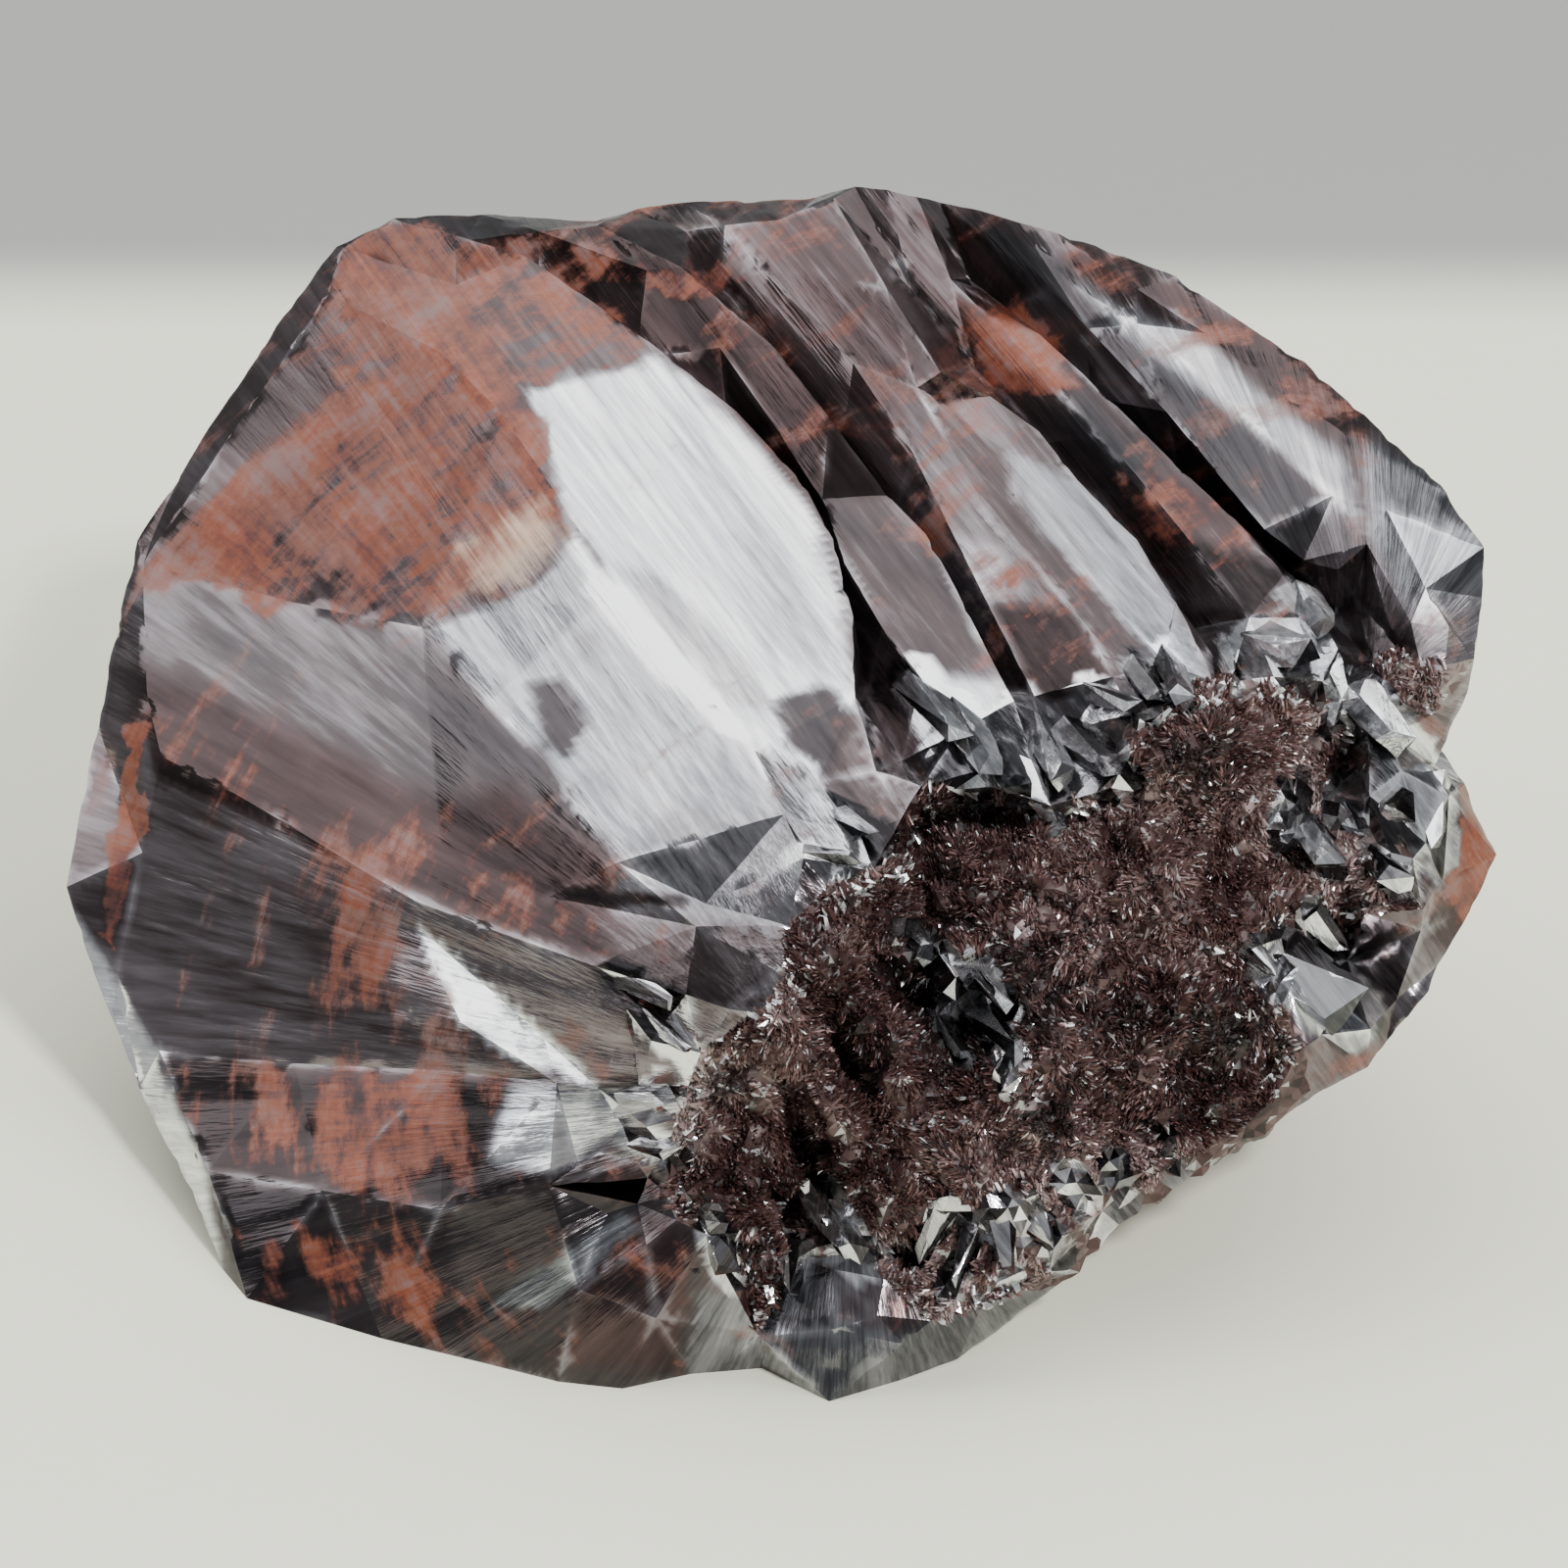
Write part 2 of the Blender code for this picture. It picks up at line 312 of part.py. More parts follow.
def floor_depth(down):
    """How far behind the sheet a line of sight meets the floor."""
    cos, sin = math.cos(EYE_ELEVATION), math.sin(EYE_ELEVATION)
    drop = (SHEET_CENTRE[1] - down) * SQUARE * cos
    return (-SHEET_PLACE[2] - drop) / (drop / EYE_DISTANCE - sin)


class Corner:
    """A corner of the stone. Drawn corners can slide along their line of sight."""

    def __init__(self, given):
        self.hidden = given[0] == "unseen"
        self.fixed = self.hidden or given[2] == ON_FLOOR
        if self.hidden:
            self.point = Vector(given[1:])
            return
        self.across, self.down, self.behind = given
        if self.fixed:
            self.behind = floor_depth(self.down)
        self.point = place(self.across, self.down, self.behind)

    def slide(self, behind):
        self.behind = behind
        self.point = place(self.across, self.down, behind)


def corners_of(lines):
    """The corners of each line, one object for corners given in the same words."""
    made = {}
    return {name: [made.setdefault(c, Corner(c)) for c in line] for name, line in lines.items()}


def facing(slope_across, slope_down):
    """The direction that a face looks in, from how it deepens per square across and down."""
    right, up, away = view_axes()
    return (right * (slope_across / SQUARE) - up * (slope_down / SQUARE) - away).normalized()


def settle_flat(lines, rounds=60, share=0.5):
    """Slides drawn corners along their lines of sight until the broad faces are flat."""
    faces = []
    for slope_across, slope_down, spans in FLAT_FACES.values():
        corners = [c for name, first, stop in spans for c in lines[name][first:stop]]
        faces.append((facing(slope_across, slope_down), list(dict.fromkeys(corners))))
    for _ in range(rounds):
        wanted = {}
        for normal, corners in faces:
            level = sum(c.point.dot(normal) for c in corners) / len(corners)
            for corner in corners:
                if corner.fixed:
                    continue
                sight = place(corner.across, corner.down, corner.behind + 1) - corner.point
                move = (level - corner.point.dot(normal)) / sight.dot(normal)
                wanted.setdefault(corner, []).append(move)
        for corner, moves in wanted.items():
            corner.slide(corner.behind + share * sum(moves) / len(moves))


def zip_stretch(mesh, a, b):
    """Triangles between two rows of vertices, always across the shorter diagonal."""
    i = j = 0
    while i < len(a) - 1 or j < len(b) - 1:
        take_a = j == len(b) - 1 or (
            i < len(a) - 1 and (a[i + 1].co - b[j].co).length < (b[j + 1].co - a[i].co).length
        )
        ahead = a[i + 1] if take_a else b[j + 1]
        if len({a[i], b[j], ahead}) == 3 and not mesh.faces.get((a[i], b[j], ahead)):
            mesh.faces.new((a[i], b[j], ahead))
        i, j = (i + 1, j) if take_a else (i, j + 1)


def zip_rows(mesh, a, b):
    """Joins two rows, stretch by stretch between the vertices that they share."""
    shared = [v for v in a if v in set(b)]
    i = j = 0
    for vertex in shared:
        to_i, to_j = a.index(vertex), b.index(vertex)
        zip_stretch(mesh, a[i:to_i + 1], b[j:to_j + 1])
        i, j = to_i, to_j
    zip_stretch(mesh, a[i:], b[j:])


def relief_at(across, down):
    """How far the broken core stands out at a square of the sheet, in mm."""
    rise = 0.0
    for x, y, half_x, half_y, turn, height in CORE_RELIEF:
        cos, sin = math.cos(math.radians(turn)), math.sin(math.radians(turn))
        along = ((across - x) * cos - (down - y) * sin) / half_x
        beside = ((across - x) * sin + (down - y) * cos) / half_y
        rise += height * math.exp(-(along * along + beside * beside))
    return rise


def edge_distance(point, outline):
    """The distance from a point to a closed outline, in squares."""
    best = 1e9
    for start, end in zip(outline, outline[1:] + outline[:1]):
        nearest, share = geometry.intersect_point_line(point, start, end)
        nearest = (start, nearest, end)[0 if share < 0 else 2 if share > 1 else 1]
        best = min(best, (point - nearest).length)
    return best


def inside(point, outline):
    """Whether a point lies inside a closed outline."""
    crossings = 0
    for (x0, y0), (x1, y1) in zip(outline, outline[1:] + outline[:1]):
        if (y0 > point[1]) != (y1 > point[1]):
            crossings += point[0] < x0 + (point[1] - y0) * (x1 - x0) / (y1 - y0)
    return crossings % 2 == 1


def core_points(outline):
    """Grain corners inside the core's outline, on a jittered triangular grid."""
    chance = random.Random(SEED)
    low_x, high_x = min(p.x for p in outline), max(p.x for p in outline)
    low_y, high_y = min(p.y for p in outline), max(p.y for p in outline)
    found = []
    row_height = CORE_GRAIN * math.sqrt(3) / 2
    for row in range(int((high_y - low_y) / row_height) + 1):
        for column in range(int((high_x - low_x) / CORE_GRAIN) + 2):
            point = Vector((
                low_x + (column + 0.5 * (row % 2) + chance.uniform(-0.28, 0.28)) * CORE_GRAIN,
                low_y + (row + chance.uniform(-0.28, 0.28)) * row_height,
            ))
            if inside(point, outline) and edge_distance(point, outline) > 0.55 * CORE_GRAIN:
                found.append(point)
    return found


def core_depth(point, rim):
    """The depth of the core at a point: the rim's depths, nearest first, less the relief."""
    weights = [1 / ((point - Vector((c.across, c.down))).length ** 2 + 0.05) for c in rim]
    depth = sum(w * c.behind for w, c in zip(weights, rim)) / sum(weights)
    grain = noise.noise(Vector((point.x * 4.1, point.y * 4.1, 4.0)))
    bundle = noise.noise(Vector((point.x * 1.7, point.y * 1.7, 8.0)))
    return depth - relief_at(point.x, point.y) + CORE_ROUGHNESS * 2 * grain + CORE_BUNDLES * 2 * bundle


def add_core(mesh, vertex_of, rim):
    """Fills the ring of the lines' inner ends with the broken, grainy core."""
    chance = random.Random(SEED + 1)
    outline = [Vector((c.across, c.down)) for c in rim]
    grains = core_points(outline)
    edges = [(i, (i + 1) % len(rim)) for i in range(len(rim))]
    points, _, triangles, origins, _, _ = geometry.delaunay_2d_cdt(
        outline + grains, edges, [], 1, 1e-6
    )
    vertices = []
    for point, origin in zip(points, origins):
        if origin and origin[0] < len(rim):
            vertices.append(vertex_of[rim[origin[0]]])
            continue
        depth = core_depth(point, rim) + chance.uniform(-CORE_ROUGHNESS, CORE_ROUGHNESS)
        vertices.append(mesh.verts.new(place(point.x, point.y, depth) * MM))
    for triangle in triangles:
        mesh.faces.new([vertices[i] for i in triangle])


def foot_of(share):
    """A point on the line where the back meets the floor, by its share of the way along."""
    step = share * (len(BACK_FOOT) - 1)
    before = min(int(step), len(BACK_FOOT) - 2)
    x, y = Vector(BACK_FOOT[before]).lerp(Vector(BACK_FOOT[before + 1]), step - before)
    return Vector((x, y, 0))


def back_row(rim, share):
    """A row of the hidden back, that share of the way from the outline down to the floor."""
    row = []
    for index, corner in enumerate(rim):
        foot = foot_of((index - 1) / (len(rim) - 3)) if 0 < index < len(rim) - 1 else corner
        point = corner.lerp(foot, share)
        outward = Vector((point.x - BACK_CENTRE[0], point.y - BACK_CENTRE[1], 0)).normalized()
        swell = BACK_SWELL * max(0, outward.y) - (0 if index % 2 else BACK_GROOVE)
        height = min(1, (corner - foot).length / 12)
        point += outward * swell * height * math.sin(math.pi * share)
        row.append(point)
    return row


def add_back(mesh, outer):
    """Closes the back and the base behind the outline, in blades that run down to the floor."""
    rim = [v.co / MM for v in outer]
    row = outer
    for step in range(1, BACK_ROWS + 1):
        points = back_row(rim, step / BACK_ROWS)
        below = [outer[0]] + [mesh.verts.new(p * MM) for p in points[1:-1]] + [outer[-1]]
        for i in range(len(row) - 1):
            corners = [row[i], row[i + 1], below[i + 1], below[i]]
            mesh.faces.new(list(dict.fromkeys(corners)))
        row = below
    mesh.faces.new(row)


def surface_at(tree, across, down):
    """The point of the stone that the eye sees at a square of the sheet, in mm."""
    eye = Vector(SHEET_PLACE) - view_axes()[2] * EYE_DISTANCE
    return tree.ray_cast(eye, (place(across, down, 0) - eye).normalized())[0]


def shard_points(tree, root, tip, half_width, rise, chance):
    """Corners of a broken blade end that leans out of the stone from its sunken root."""
    away = view_axes()[2]
    start = surface_at(tree, *root) + away * half_width
    end = surface_at(tree, *tip) - away * rise
    end = start + (end - start).normalized() * min((end - start).length, 6 * half_width + rise)
    along = (end - start).normalized()
    side = along.cross(away).normalized()
    over = side.cross(along)
    taper = chance.uniform(0.25, 0.9)
    points = []
    for corner in range(SHARD_SIDES):
        angle = 2 * math.pi * (corner + chance.uniform(-0.3, 0.3)) / SHARD_SIDES
        spoke = side * math.cos(angle) + over * math.sin(angle) * SHARD_FLATNESS
        points.append(start + spoke * half_width * chance.uniform(0.75, 1.15))
        points.append(end + spoke * half_width * taper * chance.uniform(0.7, 1.1)
                      - along * chance.uniform(0, 1.5) * half_width)
    return points


def fuse(stone, points):
    """Joins the block with the given corners, in mm, onto the stone."""
    block = bmesh.new()
    for point in points:
        block.verts.new(point * MM)
    hull = bmesh.ops.convex_hull(block, input=block.verts)
    bmesh.ops.delete(block, geom=hull["geom_interior"], context="VERTS")
    bmesh.ops.recalc_face_normals(block, faces=block.faces)
    data = bpy.data.meshes.new("block")
    block.to_mesh(data)
    block.free()
    tool = bpy.data.objects.new("block", data)
    bpy.context.scene.collection.objects.link(tool)
    union = stone.modifiers.new("fuse", "BOOLEAN")
    union.operation = "UNION"
    union.solver = "MANIFOLD"
    union.object = tool
    bpy.context.view_layer.objects.active = stone
    bpy.ops.object.modifier_apply(modifier=union.name)
    bpy.data.objects.remove(tool)


def add_shards(stone):
    """Fuses the broken blade ends round the core."""
    chance = random.Random(SEED + 2)
    mesh = bmesh.new()
    mesh.from_mesh(stone.data)
    mesh.transform(Matrix.Scale(1 / MM, 4))
    tree = BVHTree.FromBMesh(mesh)
    mesh.free()
    for root, tip, half_width, rise in SHARDS:
        fuse(stone, shard_points(tree, root, tip, half_width, rise, chance))


def tidy_joints(mesh):
    """Joins the corners that fusing leaves almost together, and leaves only triangles."""
    bmesh.ops.dissolve_degenerate(mesh, edges=mesh.edges, dist=SLIVER * MM)
    bmesh.ops.triangulate(mesh, faces=mesh.faces)


def centre_on_base(mesh):
    """Moves the stone so that its origin is the middle of its box, at floor height."""
    for axis in (0, 1):
        places = [v.co[axis] for v in mesh.verts]
        middle = (min(places) + max(places)) / 2
        for vertex in mesh.verts:
            vertex.co[axis] -= middle


def build_stone():
    """The whole stone as one closed mesh."""
    lines = corners_of(LINES)
    settle_flat(lines)
    outer = [Corner(c) for c in OUTER_RING]
    mesh = bmesh.new()
    vertex_of = {}
    for corner in [c for line in lines.values() for c in line] + outer:
        if corner not in vertex_of:
            vertex_of[corner] = mesh.verts.new(corner.point * MM)
    rows = list(lines.values())
    for row, after in zip(rows, rows[1:] + rows[:1]):
        zip_rows(mesh, [vertex_of[c] for c in row], [vertex_of[c] for c in after])
    ends = list(dict.fromkeys(row[0] for row in rows))
    zip_stretch(mesh, [vertex_of[c] for c in ends + ends[:1]],
                [vertex_of[c] for c in outer + outer[:1]])
    add_back(mesh, [vertex_of[c] for c in outer])
    add_core(mesh, vertex_of, list(dict.fromkeys(row[-1] for row in rows)))
    bmesh.ops.triangulate(mesh, faces=mesh.faces)
    bmesh.ops.recalc_face_normals(mesh, faces=mesh.faces)
    data = bpy.data.meshes.new("hematite")
    mesh.to_mesh(data)
    stone = bpy.data.objects.new("hematite", data)
    bpy.context.scene.collection.objects.link(stone)
    add_shards(stone)
    mesh.clear()
    mesh.from_mesh(stone.data)
    tidy_joints(mesh)
    centre_on_base(mesh)
    mesh.to_mesh(stone.data)
    mesh.free()
    return stone


def hematite_material():
    """Polished grey-brown iron ore."""
    material = bpy.data.materials.new("hematite")
    material.use_nodes = True
    shader = material.node_tree.nodes["Principled BSDF"]
    shader.inputs["Base Color"].default_value = (0.12, 0.09, 0.09, 1)
    shader.inputs["Metallic"].default_value = 0.8
    shader.inputs["Roughness"].default_value = 0.3
    return material


def main():
    for obj in list(bpy.data.objects):
        bpy.data.objects.remove(obj)
    stone = build_stone()
    stone.data.materials.append(hematite_material())


main()
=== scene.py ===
"""Needle ore hematite: the dressed stone, its broken core, its bright splinters and the studio.

The stone is drawn on a squared sheet, as seen by an eye in front of it and above: places on the
sheet are (across, down) in squares from its top left. Lengths here are in metres.
"""

import math

import bpy
import numpy as np
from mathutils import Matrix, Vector, noise


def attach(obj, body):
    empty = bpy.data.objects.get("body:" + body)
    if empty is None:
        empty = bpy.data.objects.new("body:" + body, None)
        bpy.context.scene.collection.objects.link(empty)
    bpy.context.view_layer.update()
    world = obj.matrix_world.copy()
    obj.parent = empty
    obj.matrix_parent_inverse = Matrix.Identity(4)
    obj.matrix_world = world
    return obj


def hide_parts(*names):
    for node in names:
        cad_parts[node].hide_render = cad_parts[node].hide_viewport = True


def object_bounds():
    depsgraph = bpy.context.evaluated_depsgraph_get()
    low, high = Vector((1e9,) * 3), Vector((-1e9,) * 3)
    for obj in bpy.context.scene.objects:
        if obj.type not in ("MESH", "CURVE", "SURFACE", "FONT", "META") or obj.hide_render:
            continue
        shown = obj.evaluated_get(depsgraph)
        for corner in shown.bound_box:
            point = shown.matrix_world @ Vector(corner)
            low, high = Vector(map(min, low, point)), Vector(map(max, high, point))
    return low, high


bl_info = {
    "name": "Needle ore hematite",
    "version": (1, 0, 0),
    "blender": (4, 5, 0),
    "location": "3D View > Sidebar > Hematite",
    "description": "Builds the dressed stone, its broken core, its bright splinters and the studio",
    "category": "Object",
}

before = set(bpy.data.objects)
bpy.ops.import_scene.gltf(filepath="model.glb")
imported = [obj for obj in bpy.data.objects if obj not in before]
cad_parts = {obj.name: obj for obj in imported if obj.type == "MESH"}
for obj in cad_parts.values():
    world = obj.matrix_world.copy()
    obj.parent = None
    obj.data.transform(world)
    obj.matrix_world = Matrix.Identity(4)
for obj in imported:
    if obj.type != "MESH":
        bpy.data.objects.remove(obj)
bpy.ops.object.select_all(action="DESELECT")
NODE = "hematite"
START_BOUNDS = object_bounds()

# Without a seed, noise_vector gives other values in each run.
NOISE_SEED = 3
noise.seed_set(NOISE_SEED)

MM = 0.001
SQUARE = 2.8 * MM
SHEET_MIDDLE = 8.0
SHEET_PLACE = np.array([0.515, -10.235, 15.5]) * MM
EYE_DISTANCE = 160 * MM
EYE_ELEVATION = math.radians(28)
SHEET_SIDE = 16

# The two ends of the line that the needles spread from, on the sheet.
ROOT_LEFT = np.array([8.6, 11.0])
ROOT_RIGHT = np.array([14.0, 7.0])
ROOT_DEPTH = 6 * MM
FAN_RADIUS = 12 * MM

# How much of the needles' lean away from the eye shows in their lines.
DEPTH_SHARE = 0.08

# Facets of the core smaller than this, in square metres, carry needles. Those that look away from the
# eye by more than this cosine aren't core.
CORE_FACET = 0.6 * MM * MM
CORE_FACING = -0.2

# Corners of the mesh closer than this are one, and a long edge is halved this many times at most.
TOUCHING = 0.001 * MM
MOST_HALVINGS = 8

# Faces turned by less than the first are one facet. Edges turned by more than the second are sharp.
FACET_TURN = math.radians(5)
SHARP_TURN = math.radians(8)

# How fine the relief is: waves per metre on the core and the nicks, and per mm across the needles.
CORE_GRAIN = 1900
NICK_GRAIN = 1400
LINE_GRAIN = 1.8
SWELL_GRAIN = 0.45

# How the lines change for each mm along the needles.
LINE_DRIFT = Vector((0.10, 0.06, 0.03))

# The relief fades out below this height, and the resting face stays flat.
FOOT_HEIGHT = 0.6 * MM

# The painted highlight along the sharp edges: mean, swing and waves per metre.
EDGE_HIGHLIGHT = (0.06, 0.5, 500)

# How suddenly the painted look gives way to the look of the hidden sides.
HORIZON = 4

# The core's ground lies this deep between its needles, whose tips are at 1; the deeper, the
# more painted shade darkens it.
GROUND_HEIGHT = 0.25

# The share of mirror-bright ends in the core's ground, its needles and the splinters.
GROUND_BRIGHT = 0.06
NEEDLE_BRIGHT = 0.045
SPLINTER_BRIGHT = 0.55

# How the needles lean together: waves per metre, seed and strength.
LEANS = [(420, 0.0, 1.1), (1300, 5.0, 0.35)]

# The splinters: mean length and width, and how near the core's edge they are, in squares.
SPLINTER_LENGTH = 0.8 * MM
SPLINTER_WIDTH = 0.36 * MM
SPLINTER_BAND = 0.30

# The width of the camera's sensor, in mm.
SENSOR = 36

# The lobes of the core: name, and where each starts and ends across the sheet.
LOBES = [
    ("needles_left", -math.inf, 9.6), ("needles_middle", 9.6, 11.6), ("needles_right", 11.6, math.inf),
]

# The edge of the broken core on the sheet.
CORE_OUTLINE = [
    (8.92, 8.88), (9.20, 8.35), (9.40, 8.02), (10.05, 7.85), (10.72, 8.22), (11.30, 7.80),
    (11.55, 7.30), (11.95, 6.98), (12.55, 6.95), (13.00, 6.90), (13.50, 6.95), (14.00, 6.75),
    (14.25, 6.62), (14.75, 6.78), (15.05, 6.72), (14.62, 7.30), (13.95, 7.20), (13.98, 8.12),
    (14.42, 8.76), (14.52, 9.28), (13.95, 9.32), (13.75, 9.80), (13.15, 10.10), (13.30, 10.72),
    (13.35, 11.15), (12.90, 11.70), (12.25, 12.10), (11.55, 12.60), (10.85, 13.10), (9.95, 13.28),
    (9.50, 13.48), (9.02, 13.05), (8.72, 12.78), (8.10, 12.86), (7.72, 13.60), (7.20, 12.60),
    (6.90, 12.45), (6.80, 12.20), (6.80, 11.75), (6.90, 11.42), (7.00, 11.20), (7.15, 10.75),
    (7.75, 10.34), (8.00, 9.95), (8.05, 9.45), (8.45, 9.05),
]

# How the faces look before the patches below: tone, a brightness that is painted reflection and
# shade; warmth of the grey, rust, crust, and glitter, how much the facets differ in brightness,
# which paints glints on them.
PLAIN_LOOK = {"tone": 0.34, "warm": 0.75, "rust": 0.16, "pale": 0.0, "glitter": 0.0}

# The look of the sides and back, where it isn't zero: mean, swing, waves per metre and seed.
HIDDEN_LOOK = {"tone": (0.36, 0.34, 110, 3), "warm": (0.70, 0.6, 90, 6), "rust": (0.26, 0.75, 120, 9)}

# What the broken blade ends set, a tone and a strong glitter that paint glints on their facets,
# and the share that they leave of the look under them.
SHARD_LOOK = {"tone": 0.50, "glitter": 1.1}
SHARD_SHARES = {"warm": 0.4, "rust": 0.3}

# How ragged the edges of the patches are, in squares: of rust and crust, and of the rest.
RUST_FRAY = 0.10
PLAIN_FRAY = 0.02
